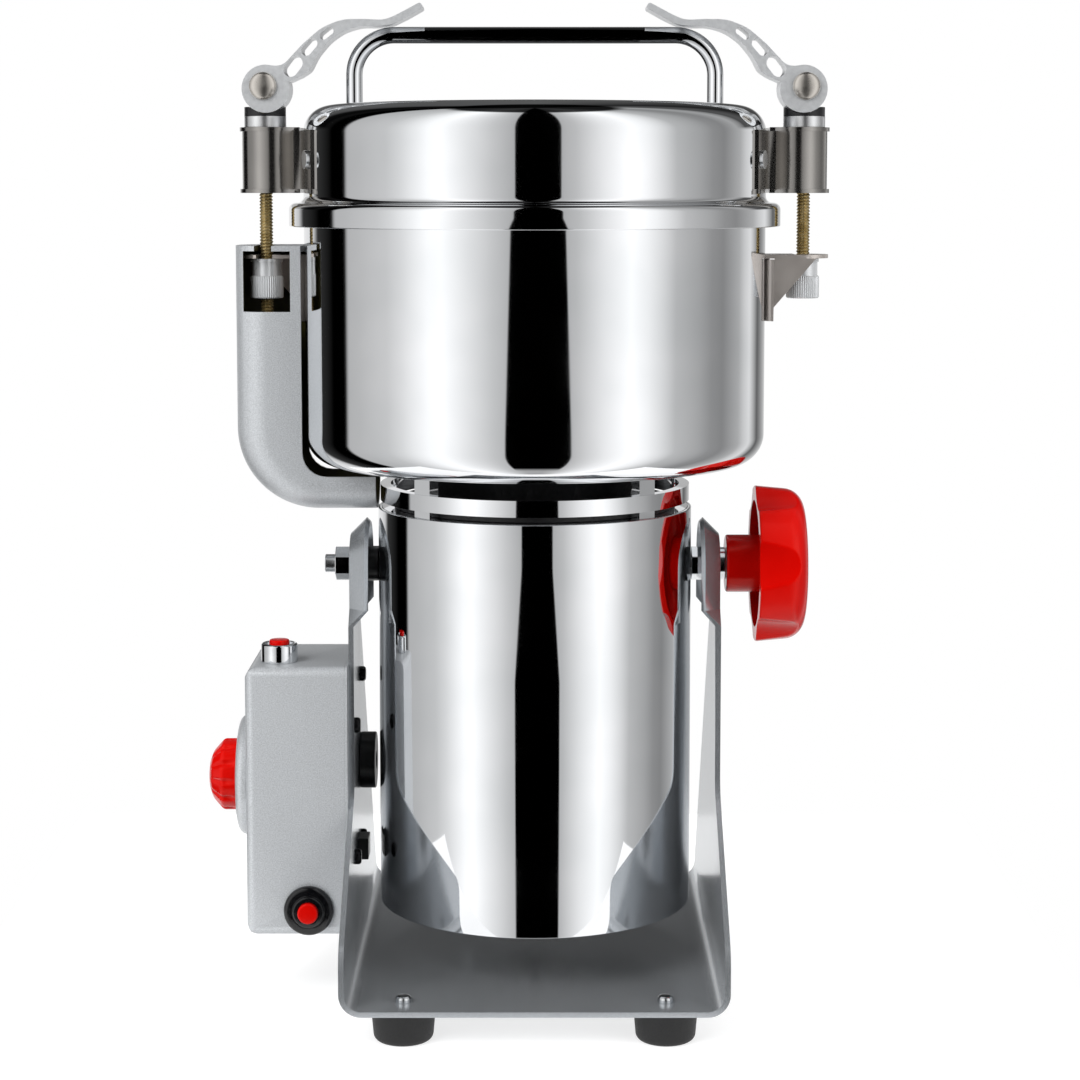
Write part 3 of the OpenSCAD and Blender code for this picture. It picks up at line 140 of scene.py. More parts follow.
# The ceiling hangs behind the mill: from which turn on, how far up it starts, and how dark it is.
ceiling_turn = (math.radians(118), math.radians(128))
ceiling_foot = (0.08, 0.16)
ceiling_shade = 0.88
turn = add(tree, "ShaderNodeMath", {0: turn}, operation="ABSOLUTE").outputs[0]
behind = add(tree, "ShaderNodeMapRange", {0: turn}, {1: ceiling_turn[0], 2: ceiling_turn[1]}).outputs[0]
above = add(tree, "ShaderNodeMapRange", {0: parts["Z"]},
            {1: ceiling_foot[0], 2: ceiling_foot[1], 4: ceiling_shade}).outputs[0]
ceiling = add(tree, "ShaderNodeMath", {0: behind, 1: above}, operation="MULTIPLY").outputs[0]
lit = add(tree, "ShaderNodeMath", {1: ceiling}, {0: 1}, operation="SUBTRACT").outputs[0]
lit = add(tree, "ShaderNodeMath", {0: lit, 1: gap}, operation="MULTIPLY").outputs[0]
panels = add(tree, "ShaderNodeVectorMath", {0: around.outputs[0], 1: upright.outputs[0]},
             operation="MULTIPLY").outputs[0]
panels = add(tree, "ShaderNodeVectorMath", {0: panels, "Scale": lit}, operation="SCALE").outputs[0]
panel_strength = 1.3
light_path = add(tree, "ShaderNodeLightPath").outputs
seen = add(tree, "ShaderNodeMath", {0: light_path["Is Camera Ray"], 1: light_path["Is Transmission Ray"]},
           operation="MAXIMUM").outputs[0]
studio = add(tree, "ShaderNodeBackground", {"Color": panels}, {"Strength": panel_strength})
backdrop = add(tree, "ShaderNodeBackground", inputs={"Color": (1, 1, 1, 1)})
shown = add(tree, "ShaderNodeMixShader", {0: seen, 1: studio.outputs[0], 2: backdrop.outputs[0]})
add(tree, "ShaderNodeOutputWorld", {"Surface": shown.outputs[0]})

# Table: a white sheet that ends a little in front of the feet, so that the polished tube shows little
# of it. It is seen as part glow and part lit paper, which leaves it white with a pale shadow of the mill.


def linear(hex_colour):
    """An sRGB colour such as "c0c4c8" as linear red, green and blue, with alpha 1: a share over 0.04045
    is (share + 0.055) / 1.055 to the power of 2.4, and a smaller one is share / 12.92."""
    share = np.array([int(hex_colour[i : i + 2], 16) for i in (0, 2, 4)]) / 255
    low, high = share / 12.92, ((share + 0.055) / 1.055) ** 2.4
    return (*np.where(share <= 0.04045, low, high), 1)


table_half = 250 * MM
table_front, table_back = axis_y - 135 * MM, axis_y + 300 * MM
table_corners = [(-table_half, table_front, 0), (table_half, table_front, 0),
                 (table_half, table_back, 0), (-table_half, table_back, 0)]
table_mesh = bpy.data.meshes.new("table")
table_mesh.from_pydata(table_corners, [], [(0, 1, 2, 3)])
table = placed("table", table_mesh)
paper = bpy.data.materials.new("table_white")
paper.use_nodes = True
tree = paper.node_tree
tree.nodes.clear()
light_path = add(tree, "ShaderNodeLightPath").outputs
seen = add(tree, "ShaderNodeMath", {0: light_path["Is Camera Ray"], 1: light_path["Is Glossy Ray"]},
           operation="MAXIMUM").outputs[0]
glow_share = 0.55
seen = add(tree, "ShaderNodeMath", {0: seen}, {1: glow_share}, operation="MULTIPLY").outputs[0]
matt = add(tree, "ShaderNodeBsdfDiffuse", inputs={"Color": linear("f4f4f4")})
glow = add(tree, "ShaderNodeEmission", inputs={"Color": (1, 1, 1, 1), "Strength": panel_strength})
sheet = add(tree, "ShaderNodeMixShader", {0: seen, 1: matt.outputs[0], 2: glow.outputs[0]})
add(tree, "ShaderNodeOutputMaterial", {"Surface": sheet.outputs[0]})
table_mesh.materials.append(paper)

# Lamps: a large soft one from the upper left, a weaker one from the right, and one overhead. They light
# the paint and the plastic, and the polished steel doesn't mirror them.
lamp_aim = np.array([axis_x, axis_y, 200 * MM])
for name, place, size, watts in (("key", (-0.9, -1.1, 1.1), 0.9, 22), ("fill", (1.2, -0.8, 0.7), 0.9, 9),
                                 ("top", (0.1, 0.2, 1.5), 1.0, 14)):
    lamp_data = bpy.data.lights.new(name, "AREA")
    lamp_data.energy = watts
    lamp_data.size = size
    lamp = placed(name, lamp_data)
    lamp.location = place
    aim = lamp_aim - np.array(place)
    lamp.rotation_euler = (math.atan2(np.hypot(aim[0], aim[1]), -aim[2]), 0, math.atan2(-aim[0], aim[1]))
    lamp.visible_glossy = False

# Stand: bent from one steel sheet and sprayed silver, on four black rubber feet that screws hold from
# above. Every piece takes its place and body from the nodes that it stands for.
record = frame["record"]
body_with = {node: body for body, nodes in record["behaviour"]["bodies"].items() for node in nodes}
sharp_turn = 32


def fit(piece, material, node):
    """The piece stands for this node: it gets the node's body and the material."""
    piece.data.materials.clear()
    piece.data.materials.append(material)
    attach(piece, body_with[node])
    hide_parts(node)


def smooth(mesh, crease=sharp_turn):
    """Smooth shading, except over edges that turn by more than the crease angle in degrees."""
    mesh.shade_smooth()
    mesh.set_sharp_from_angle(angle=math.radians(crease))


def dressed(node, material, edge, bend=0):
    """A copy of a node's mesh with its loose triangles joined and its edges broken by a bevel. Edges that
    turn by 12 to 60 degrees are the sheet's bends: they are rounded over the larger width bend."""
    mesh = bpy.data.meshes.new(node + "_piece")
    work = bmesh.new()
    work.from_mesh(frame["nodes"][node].data)
    bmesh.ops.remove_doubles(work, verts=work.verts, dist=0.002 * MM)
    bmesh.ops.dissolve_limit(work, angle_limit=math.radians(0.5), verts=work.verts, edges=work.edges)
    if bend:
        weight = work.edges.layers.float.new("bevel_weight_edge")
        for side in work.edges:
            turn = math.degrees(side.calc_face_angle(0)) if side.is_manifold else 0
            side[weight] = 1.0 if 12 < turn < 60 else 0.0
    work.to_mesh(mesh)
    work.free()
    smooth(mesh)
    piece = placed(node + "_piece", mesh)
    if bend:
        bending = piece.modifiers.new("bend", "BEVEL")
        bending.width = bend
        bending.segments = 5
        bending.limit_method = "WEIGHT"
    if edge:
        bevel = piece.modifiers.new("edge", "BEVEL")
        bevel.width = edge
        bevel.segments = 2
        bevel.limit_method = "ANGLE"
        bevel.angle_limit = math.radians(sharp_turn)
        bevel.harden_normals = True
    fit(piece, material, node)
    return piece


def finish(name, colours, metallic, rough, size, depth=0.0, detail=2, stretch=(1, 1, 1), **sockets):
    """A material whose colour and roughness wander between two values with noise of a real size in
    metres, which also raises the surface by up to depth. A stretch below one draws the noise out along
    that axis. Other sockets of the surface keep one value."""
    material = bpy.data.materials.new(name)
    material.use_nodes = True
    tree = material.node_tree
    surface = tree.nodes["Principled BSDF"]
    for key, value in {"Metallic": metallic, **sockets}.items():
        surface.inputs[key.replace("_", " ")].default_value = value
    place = add(tree, "ShaderNodeTexCoord").outputs["Object"]
    place = add(tree, "ShaderNodeMapping", {"Vector": place}, {"Scale": stretch}).outputs[0]
    noise = add(tree, "ShaderNodeTexNoise", {"Vector": place}, {"Scale": 1 / size, "Detail": detail})
    noise = noise.outputs[0]
    share = add(tree, "ShaderNodeMapRange", {0: noise}, {1: 0.32, 2: 0.68}).outputs[0]
    blend = add(tree, "ShaderNodeMix", {0: share}, {6: linear(colours[0]), 7: linear(colours[1])},
                data_type="RGBA")
    tree.links.new(blend.outputs[2], surface.inputs["Base Color"])
    spread = add(tree, "ShaderNodeMapRange", {0: share}, {3: rough[0], 4: rough[1]})
    tree.links.new(spread.outputs[0], surface.inputs["Roughness"])
    if depth:
        bump = add(tree, "ShaderNodeBump", {"Height": noise}, {"Distance": depth})
        tree.links.new(bump.outputs[0], surface.inputs["Normal"])
    return material


# Silver lacquer over smooth rolled sheet: it has next to no grain, and mirrors the tube softly.
silver_lacquer = finish("silver_lacquer", ("b0b4b8", "bcc0c4"), 0.75, (0.2, 0.24), 0.6 * MM, 0.002 * MM)
# Matt moulded rubber with a faint grain.
rubber = finish("moulded_black_rubber", ("0a0a0b", "141415"), 0, (0.5, 0.7), 0.6 * MM, 0.02 * MM)
# Zinc plate over steel: bright, with a bloom that only shifts the gloss a little.
zinc = finish("zinc_plated_steel", ("d2d4d6", "dee0e2"), 1, (0.14, 0.2), 6 * MM)
dressed("base_frame", silver_lacquer, 0.45 * MM, bend=3.5 * MM)
dressed("rubber_feet", rubber, 0.4 * MM)
stand_screws = dressed("stand_screws", zinc, 0.15 * MM)

# Control box: folded from steel sheet and sprayed with silver metallic paint, hung on the left upright
# with a steel plate behind it. The screws beside it carry a painted dark reflection; those of the feet are
# bright.


def face_rows(piece, what):
    """One row of x, y and z for each face of the piece: its "center" or its "normal"."""
    rows = np.empty(len(piece.data.polygons) * 3)
    piece.data.polygons.foreach_get(what, rows)
    return rows.reshape(-1, 3)


def also(piece, material, which):
    """The piece gets a second material, on the faces where which is true."""
    piece.data.materials.append(material)
    piece.data.polygons.foreach_set("material_index", which.astype(int))


# Sprayed flakes about half a millimetre across break up the light into a fine bright grain.
silver_paint = finish("silver_metallic_paint", ("b4b7ba", "d0d3d6"), 0.5, (0.36, 0.5), 0.5 * MM, 0.008 * MM,
                      Coat_Weight=0.12, Coat_Roughness=0.3)
dressed("control_box", silver_paint, 0.6 * MM)
dressed("box_back_plate", silver_paint, 0.2 * MM)
# Painted reflection: steel coloured nearly black for the dark surroundings it mirrors, with a low shine.
dark_reflection_steel = finish("steel_with_painted_dark_reflection", ("0c0c0e", "18181a"), 0.6, (0.24, 0.34), 1 * MM)
above_feet = 40 * MM
# The screws above the feet get the painted dark reflection.
also(stand_screws, dark_reflection_steel, face_rows(stand_screws, "center")[:, 2] > above_feet)

# Timer: a raised dial plate painted like the box, and a knob moulded in one piece from red plastic with
# grip flutes round its dome, pushed on a steel spindle.


def rounded(points, steps=8, longest=1.0):
    """The outline through points (x, y, corner radius), each corner an arc tangent to both its sides,
    and no part of it longer than the longest step."""
    outline = []
    for before, point, after in zip(points[-1:] + points[:-1], points, points[1:] + points[:1]):
        corner = np.array(point[:2], float)
        if len(point) == 2 or not point[2]:
            outline.append(corner[None])
            continue
        one = np.array(before[:2]) - corner
        two = np.array(after[:2]) - corner
        one, two = one / np.linalg.norm(one), two / np.linalg.norm(two)
        half = math.acos(np.clip(one @ two, -1, 1)) / 2
        middle = corner + (one + two) / np.linalg.norm(one + two) * point[2] / math.sin(half)
        first, last = (corner + side * point[2] / math.tan(half) - middle for side in (one, two))
        start = math.atan2(first[1], first[0])
        sweep = (math.atan2(last[1], last[0]) - start + math.pi) % (2 * math.pi) - math.pi
        angles = start + sweep * np.linspace(0, 1, steps + 1)
        outline.append(middle + point[2] * np.stack([np.cos(angles), np.sin(angles)], 1))
    outline = np.concatenate(outline)
    ends = np.roll(outline, -1, 0)
    parts = np.maximum(np.ceil(np.linalg.norm(ends - outline, axis=1) / longest), 1).astype(int)
    return np.concatenate([np.linspace(start, end, part, endpoint=False)
                           for start, end, part in zip(outline, ends, parts)])


def grid_mesh(name, points, closed_rows=True):
    """A mesh of quads over a grid of points, rows by columns. Its columns join round from last to first,
    and so do its rows unless they are open."""
    rows, columns = points.shape[:2]
    row, column = np.meshgrid(np.arange(rows if closed_rows else rows - 1), np.arange(columns), indexing="ij")
    next_row, next_column = (row + 1) % rows, (column + 1) % columns
    corners = [row * columns + column, next_row * columns + column,
               next_row * columns + next_column, row * columns + next_column]
    mesh = bpy.data.meshes.new(name)
    mesh.from_pydata(points.reshape(-1, 3), [], np.stack(corners, -1).reshape(-1, 4))
    work = bmesh.new()
    work.from_mesh(mesh)
    bmesh.ops.remove_doubles(work, verts=work.verts, dist=0.001 * MM)
    bmesh.ops.dissolve_degenerate(work, edges=work.edges, dist=0.001 * MM)
    bmesh.ops.recalc_face_normals(work, faces=work.faces)
    work.to_mesh(mesh)
    work.free()
    return mesh


# For each way a turned piece can face: its axis, then the directions of angle 0 and of a quarter turn.
ALONG = {"up": ((0, 0, 1), (1, 0, 0), (0, 1, 0)), "right": ((1, 0, 0), (0, 1, 0), (0, 0, 1)),
         "left": ((-1, 0, 0), (0, 0, 1), (0, 1, 0)), "back": ((0, 1, 0), (0, 0, 1), (1, 0, 0))}


def turned(name, outline, place, facing="up", shape=None, steps=192, crease=sharp_turn):
    """A turned piece: the point at radius r and height h of its closed outline, at angle a, lies at
    place + h along the axis + r (cos a, sin a) across it. shape(a, r, h) may change r, as a knurl does."""
    along, across, beyond = (np.array(vector, float) for vector in ALONG[facing])
    angle = np.linspace(0, 2 * math.pi, steps, endpoint=False)[:, None]
    radius, height = outline[:, 0][None, :], outline[:, 1][None, :]
    if shape is not None:
        radius = shape(angle, radius, height)
    grid = (steps, len(outline))
    radius, height = np.broadcast_to(radius, grid), np.broadcast_to(height, grid)
    points = np.array(place) + height[..., None] * along
    points = points + (radius * np.cos(angle))[..., None] * across
    points = points + (radius * np.sin(angle))[..., None] * beyond
    mesh = grid_mesh(name, points)
    smooth(mesh, crease)
    return placed(name, mesh)


dial_low, dial_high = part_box("timer_dial_plate")
timer_axis = ((dial_low.y + dial_high.y) / 2, (dial_low.z + dial_high.z) / 2)
dial_r = (dial_high.y - dial_low.y) / 2
dial_t = dial_high.x - dial_low.x
dial_edge = 3.6 * MM
spindle_hole = 3.3 * MM
dial_outline = rounded([(spindle_hole, 0), (dial_r, 0), (dial_r, dial_t, dial_edge), (spindle_hole, dial_t)])
dial = turned("dial_plate", dial_outline, (dial_high.x, *timer_axis), "left")
fit(dial, silver_paint, "timer_dial_plate")
# Glossy opaque ABS from a polished mould: deep red, with a highlight that takes the plastic's colour.
red_plastic = finish("moulded_red_plastic", ("c00602", "c80904"), 0, (0.17, 0.21), 20 * MM,
                     Specular_IOR_Level=0.5, Specular_Tint=linear("ff8478"))
# Black nylon is smoother than rubber, with a low sheen.
nylon = finish("black_nylon", ("0a0a0c", "161618"), 0, (0.3, 0.42), 0.8 * MM, 0.01 * MM)
timer_low, timer_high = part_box("timer_knob")
timer_r = (timer_high.y - timer_low.y) / 2
timer_h = timer_high.x - timer_low.x
timer_bore = 3.05 * MM
flutes = 12
flute_depth = 1.1 * MM
flute_end = 0.45


def fluted(angle, radius, height):
    """Flutes: the positive halves of a cosine, squared, dip round the outside. They deepen over the
    lowest third of the height and fade out inwards, to nothing at flute_end of the radius."""
    dip = np.maximum(np.cos(angle * flutes), 0) ** 2 * np.clip(height / timer_h * 3, 0, 1)
    fade = np.clip((radius - flute_end * timer_r) / (flute_end * timer_r), 0, 1)
    return radius - flute_depth * dip * fade


timer_outline = rounded([(timer_bore, 0), (timer_r, 0, 0.6 * MM), (timer_r, 0.52 * timer_h, 2.5 * MM),
                         (0.66 * timer_r, 0.88 * timer_h, 6 * MM), (0.4 * timer_r, 0.985 * timer_h, 4 * MM),
                         (0, timer_h), (0, 0.65 * timer_h), (timer_bore, 0.65 * timer_h)], 10, 0.8 * MM)
timer_knob = turned("timer_knob_red", timer_outline, (timer_high.x, *timer_axis), "left", fluted, 288)
fit(timer_knob, red_plastic, "timer_knob")
dressed("timer_spindle", zinc, 0)
dressed("timer_module", nylon, 0.3 * MM)

# Power button: a red cap in a bright chromed collar on top of the box. Reset button: a red button in a
# glossy black collar at the front. Black glands hold the two cables' ends.

# Chrome over polished brass: a clear mirror, a little softer than the steel.
chrome = finish("chromed_brass", ("dcdee0", "e6e8ea"), 1, (0.05, 0.1), 4 * MM)
# Bakelite from a polished mould: deep black with sharp highlights.
gloss_black = finish("glossy_black_bakelite", ("08080a", "101012"), 0, (0.1, 0.18), 2 * MM)
dressed("power_button_collar", chrome, 0.25 * MM)
dressed("power_button_cap", red_plastic, 0.3 * MM)
dressed("power_switch", nylon, 0.3 * MM)
dressed("reset_collar", gloss_black, 0.3 * MM)
dressed("reset_button", red_plastic, 0.3 * MM)
dressed("overload_breaker", nylon, 0.3 * MM)
dressed("cable_glands", nylon, 0.5 * MM)

# Pivot: a bolt and a stud of plated steel through the housing, with nuts, black nylon spacers and a
# washer. The left bolt's end sticks out of its lock nut.
for node in ("pivot_bolt", "pivot_stud", "knob_washer"):
    dressed(node, zinc, 0.3 * MM)
dressed("pivot_nuts", chrome, 0.6 * MM)
dressed("pivot_spacers", nylon, 0.3 * MM)

# Star knob: a hollow moulding of the same red plastic, its rim cut by six scallops, on a brass insert
# that screws on the stud.
star_low, star_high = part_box("star_knob")
star_axis = ((star_low.y + star_high.y) / 2, (star_low.z + star_high.z) / 2)
hub_r = 12.7 * MM
neck = 12.9 * MM
star_r = 34.5 * MM
star_l = star_high.x - star_low.x
star_wall = 4.2 * MM
cavity_r = 28 * MM
star_end = 9 * MM
insert_r = 6.05 * MM
insert_l = 22 * MM
arms = 6
first_arm = math.radians(-6.8)
scallop_r = 20 * MM
scallop_depth = 4.5 * MM
scallop_lean = math.tan(math.radians(5))
soft = 0.2 * MM
# A point counts as on a given radius or height if it is within this of it.
slack = 0.1 * MM


def scalloped(angle, radius, height):
    """Near side of a circle of scallop_r round a centre that leans outwards, or the outline if that
    is nearer the axis, with a soft change from one to the other."""
    away = (angle - first_arm + math.pi / arms) % (2 * math.pi / arms) - math.pi / arms
    centre = star_r + scallop_r - scallop_depth + scallop_lean * (height - neck)
    inside = np.maximum(scallop_r**2 - (centre * np.sin(away)) ** 2, 0)
    side = centre * np.cos(away) - np.sqrt(inside)
    nearer = -soft * np.logaddexp(-radius / soft, -side / soft)
    return np.where((height > neck - slack) & (radius > cavity_r + soft), nearer, radius)


star_outline = rounded([(insert_r, 0), (hub_r, 0, 1 * MM), (hub_r, star_l - star_wall, 1 * MM),
                        (cavity_r, star_l - star_wall, 4 * MM), (cavity_r, neck), (star_r, neck, 0.7 * MM),
                        (star_r - 2 * MM, star_l, star_end), (0, star_l), (0, insert_l),
                        (insert_r, insert_l)], 14, 0.7 * MM)
star = turned("star_knob_red", star_outline, (star_low.x, *star_axis), "right", scalloped, 432)
fit(star, red_plastic, "star_knob")
# Turned brass, slightly dull.
brass = finish("turned_brass", ("b88a44", "d2a860"), 1, (0.25, 0.4), 1 * MM)
dressed("knob_insert", brass, 0)

# Motor housing: a length of stainless tube, drawn and buffed to a mirror, open at the top, with a vented
# black cover inside its lower end, held by small screws.


def buffed(material, streak):
    """Fine lines round the piece where a mop buffed it: noise drawn out across Z, and 1.2 mm high along
    it, raises the surface by up to streak."""
    tree = material.node_tree
    place = add(tree, "ShaderNodeTexCoord").outputs["Object"]
    place = add(tree, "ShaderNodeMapping", {"Vector": place}, {"Scale": (0.02, 0.02, 1)}).outputs[0]
    lines = add(tree, "ShaderNodeTexNoise", {"Vector": place}, {"Scale": 1 / (1.2 * MM), "Detail": 2})
    bump = add(tree, "ShaderNodeBump", {"Height": lines.outputs[0]}, {"Distance": streak, "Strength": 0.2})
    tree.links.new(bump.outputs[0], tree.nodes["Principled BSDF"].inputs["Normal"])


# A true mirror with a trace of haze, so that reflected edges are sharp near the piece and soft far off.
polished = finish("mirror_polished_steel", ("e2e4e6", "ecedef"), 1, (0.025, 0.055), 40 * MM)
buffed(polished, 0.001 * MM)
housing_r = (housing_high.x - housing_low.x) / 2
housing_wall = 1.5 * MM
rim = 0.35 * MM
housing_l = housing_high.z - housing_low.z
housing_outline = rounded([(housing_r - housing_wall, 0, rim), (housing_r, 0, rim),
                           (housing_r, housing_l, rim), (housing_r - housing_wall, housing_l, rim)], 4)
housing = turned("motor_tube", housing_outline, (axis_x, axis_y, housing_low.z), steps=256)
fit(housing, polished, "motor_housing")
dressed("bottom_cover", nylon, 0.3 * MM)
dressed("head_screws", zinc, 0.15 * MM)

# Neck: a chromed ring and band on four posts round the black casting that holds the upper bearing and
# the shaft's seal.
dressed("neck_cage", polished, 0.25 * MM)
# Black paint over a sand casting: low gloss over a pebbled skin.
casting = finish("black_painted_casting", ("0e0e10", "1c1c1e"), 0, (0.36, 0.55), 1.5 * MM, 0.05 * MM, 4)
dressed("bearing_carrier", casting, 0.4 * MM)
dressed("shaft_seal", rubber, 0.2 * MM)

# Inside the motor: laminated steel, varnished copper windings, pressed carbon brushes, a moulded fan,
# and a cast aluminium bracket for the lower bearing.

# Stacked laminations: thin dull rings, one above the other.
core = finish("laminated_steel", ("5c5e62", "7c7e82"), 0.9, (0.45, 0.55), 0.5 * MM, 0.05 * MM, 1,
              (0.02, 0.02, 1))
# Copper wire under varnish: warm and streaked round by round, with a clear shine.
copper = finish("varnished_copper_wire", ("8c4420", "bc6c38"), 0.8, (0.3, 0.4), 0.8 * MM, 0.2 * MM, 2,
                (0.1, 0.1, 1), Coat_Weight=0.5)
# Pressed carbon: dull, dark and finely grained.
carbon = finish("pressed_carbon", ("1c1c20", "303034"), 0.2, (0.55, 0.65), 0.4 * MM, 0.03 * MM)
# Tumbled casting: a light satin skin, nearly even, with crisp edges.
cast_aluminium = finish("tumbled_cast_aluminium", ("dfe1e3", "e8eaec"), 0.65, (0.28, 0.34), 2 * MM,
                        0.002 * MM)
for nodes, material in ((("stator_core", "armature_core"), core), (("lower_bracket",), cast_aluminium),
                        (("stator_windings", "armature_windings", "commutator"), copper),
                        (("brush_holders", "cooling_fan"), nylon), (("carbon_brushes",), carbon),
                        (("motor_bearings",), zinc)):
    for node in nodes:
        dressed(node, material, 0)

# Bowl: spun from one sheet of steel and mirror-buffed, its rim turned out to a flat lip that the lid's
# seal presses on.
bowl_low, bowl_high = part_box("grinding_bowl")
lip = 4.1 * MM
bowl_r = (bowl_high.x - bowl_low.x) / 2 - lip
bowl_h = bowl_high.z - bowl_low.z
bowl_wall = 1.5 * MM
bowl_corner = 13 * MM
bowl_hole = 14.05 * MM
bowl_outline = rounded([(bowl_hole, 0, 0.3 * MM), (bowl_r, 0, bowl_corner),
                        (bowl_r, bowl_h - bowl_wall, 0.6 * MM),
                        (bowl_r + lip, bowl_h - bowl_wall, 0.7 * MM), (bowl_r + lip, bowl_h, 0.7 * MM),
                        (bowl_r - bowl_wall, bowl_h, 1.4 * MM),
                        (bowl_r - bowl_wall, bowl_wall, bowl_corner - bowl_wall),
                        (bowl_hole, bowl_wall, 0.3 * MM)], 16)
bowl = turned("bowl_steel", bowl_outline, (axis_x, axis_y, bowl_low.z), steps=288)
fit(bowl, polished, "grinding_bowl")

# Brackets: slotted plates bent from strip and spot-welded to the bowl, nickel-plated a little warmer
# than the steel, with a satin gloss.
nickel = finish("satin_nickel_plate", ("c6beb8", "cec7c1"), 0.7, (0.3, 0.36), 12 * MM)
dressed("bowl_brackets", nickel, 0.25 * MM)

# Elbow cover: folded sheet painted like the box outside, and coloured dark olive inside as painted shade for
# its unlit hollow. The lid's safety switch sits in it, under the left rod.
elbow = dressed("elbow_cover", silver_paint, 0.6 * MM)
# Painted shade: a dark, dull olive that stands in for the shade inside the cover.
inside_painted_shade = finish("olive_inside_painted_shade", ("2c280c", "3a3612"), 0, (0.5, 0.65), 2 * MM)
elbow_low, elbow_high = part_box("elbow_cover")
leg_w = 29.5 * MM
arm_h = 15.2 * MM
elbow_r = 36 * MM
overrun = 20 * MM
# The cover's middle line runs down the leg, round the elbow and along the arm. A face that looks towards
# its nearest point on that line is inside.
turn_r = elbow_r - leg_w / 2
turn_angle = np.linspace(0, math.pi / 2, 12)
arm_z = elbow_low.z + arm_h / 2
leg_line_x = elbow_low.x + leg_w / 2
leg_rows = np.append(elbow_high.z + overrun, np.linspace(elbow_high.z, arm_z + turn_r, 24))
arm_rows = np.linspace(leg_line_x + turn_r, elbow_high.x + overrun, 12)
core_line = np.concatenate([np.stack([np.full(len(leg_rows), leg_line_x), leg_rows], 1),
                            np.stack([leg_line_x + turn_r * (1 - np.cos(turn_angle)),
                                      arm_z + turn_r * (1 - np.sin(turn_angle))], 1),
                            np.stack([arm_rows, np.full(len(arm_rows), arm_z)], 1)])
middles, normals = face_rows(elbow, "center"), face_rows(elbow, "normal")
flat_places = middles[:, [0, 2]]
nearest = core_line[np.argmin(np.linalg.norm(flat_places[:, None] - core_line[None], axis=2), 1)]
inwards = np.stack([nearest[:, 0], np.full(len(nearest), axis_y), nearest[:, 1]], 1) - middles
# The faces inside the cover get the painted shade.
also(elbow, inside_painted_shade, (inwards * normals).sum(1) > 0)
dressed("lid_switch", nylon, 0.4 * MM)

# Shaft and blades: stainless steel, ground on a belt, which leaves it satin with lines along the blades.
# A cap nut holds the stack of blades and spacers on the shaft's end.
ground = finish("ground_stainless_steel", ("babcc0", "d6d8da"), 1, (0.2, 0.36), 1.5 * MM, 0.01 * MM, 4,
                (0.1, 1, 1))
for node in ("grinding_blades", "blade_spacers", "blade_nut", "motor_shaft"):
    dressed(node, ground, 0.2 * MM)

# Lid: spun from sheet and mirror-buffed like the bowl, its top crowned a little, with a skirt that
# covers the bowl's rim and a black rubber seal inside it.
lid_low, lid_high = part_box("lid_shell")
skirt_r = (lid_high.x - lid_low.x) / 2
lid_h = lid_high.z - lid_low.z
lid_wall = 1.3 * MM
bulge_r = bowl_r + 0.05 * MM
skirt_h = 10.1 * MM
crown_drop = 1.8 * MM
lid_corner = 12 * MM
shoulder = 3 * MM
crown_r = bulge_r / 2
side_h = lid_h - crown_drop
lid_outline = rounded([(0, lid_h), (crown_r, lid_h - crown_drop / 3, 200 * MM), (bulge_r, side_h, lid_corner),
                       (bulge_r, skirt_h, shoulder), (skirt_r, skirt_h, shoulder), (skirt_r, 0, 0.5 * MM),
                       (skirt_r - lid_wall, 0, 0.5 * MM),
                       (skirt_r - lid_wall, skirt_h - lid_wall, shoulder - lid_wall),
                       (bulge_r - lid_wall, skirt_h - lid_wall, shoulder + lid_wall),
                       (bulge_r - lid_wall, side_h - lid_wall, lid_corner - lid_wall),
                       (crown_r, lid_h - crown_drop / 3 - lid_wall, 200 * MM), (0, lid_h - lid_wall)], 16)
lid = turned("lid_steel", lid_outline, (axis_x, axis_y, lid_low.z), steps=288)
fit(lid, polished, "lid_shell")
dressed("lid_seal", rubber, 0.4 * MM)
dressed("lid_fasteners", zinc, 0.15 * MM)

# Handle: one round steel rod, bent twice and polished. Its two legs go through the lid's top, and nuts
# on the inside hold them.


def swept(name, path, radius, steps=48):
    """A round rod: at each point of a path in an XZ plane, a circle of that radius across the path's
    direction, in the Y axis and the normal. The first and last points are poles that close its ends."""
    direction = np.gradient(path, axis=0)
    direction /= np.linalg.norm(direction, axis=1)[:, None]
    normal = np.cross(direction, (0, 1, 0))
    angle = np.linspace(0, 2 * math.pi, steps, endpoint=False)[None, :, None]
    circle = np.cos(angle) * normal[:, None] + np.sin(angle) * np.array((0, 1, 0))
    size = np.full(len(path), radius)
    size[[0, -1]] = 0
    points = path[:, None] + size[:, None, None] * circle
    mesh = grid_mesh(name, points, closed_rows=False)
    smooth(mesh)
    return placed(name, mesh)


handle_low, handle_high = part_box("lid_handle")
handle_r = (handle_high.y - handle_low.y) / 2
handle_bend = 17.4 * MM
leg_x = (handle_high.x - handle_low.x) / 2 - handle_r
top_z = handle_high.z - handle_r
arc = np.linspace(0, math.pi / 2, 24)
left_arc = np.stack([-leg_x + handle_bend * (1 - np.cos(arc)), top_z - handle_bend * (1 - np.sin(arc))], 1)
right_arc = left_arc[::-1] * (-1, 1)
# The ends are flat: the first full circle lies next to the pole.
next_to = 0.01 * MM
legs = np.array([(-leg_x, handle_low.z), (-leg_x, handle_low.z + next_to)])
bend_path = np.concatenate([legs, left_arc, right_arc, legs[::-1] * (-1, 1)])
handle_path = np.stack([axis_x + bend_path[:, 0], np.full(len(bend_path), axis_y), bend_path[:, 1]], 1)
handle = swept("handle_rod", handle_path, handle_r)
fit(handle, polished, "lid_handle")

# Latches: on each side a buffed nickel drum and a brushed collar on the lid, and a black saddle that a
# cast aluminium lever presses on. The lever lifts a threaded rod by a domed cross pin.

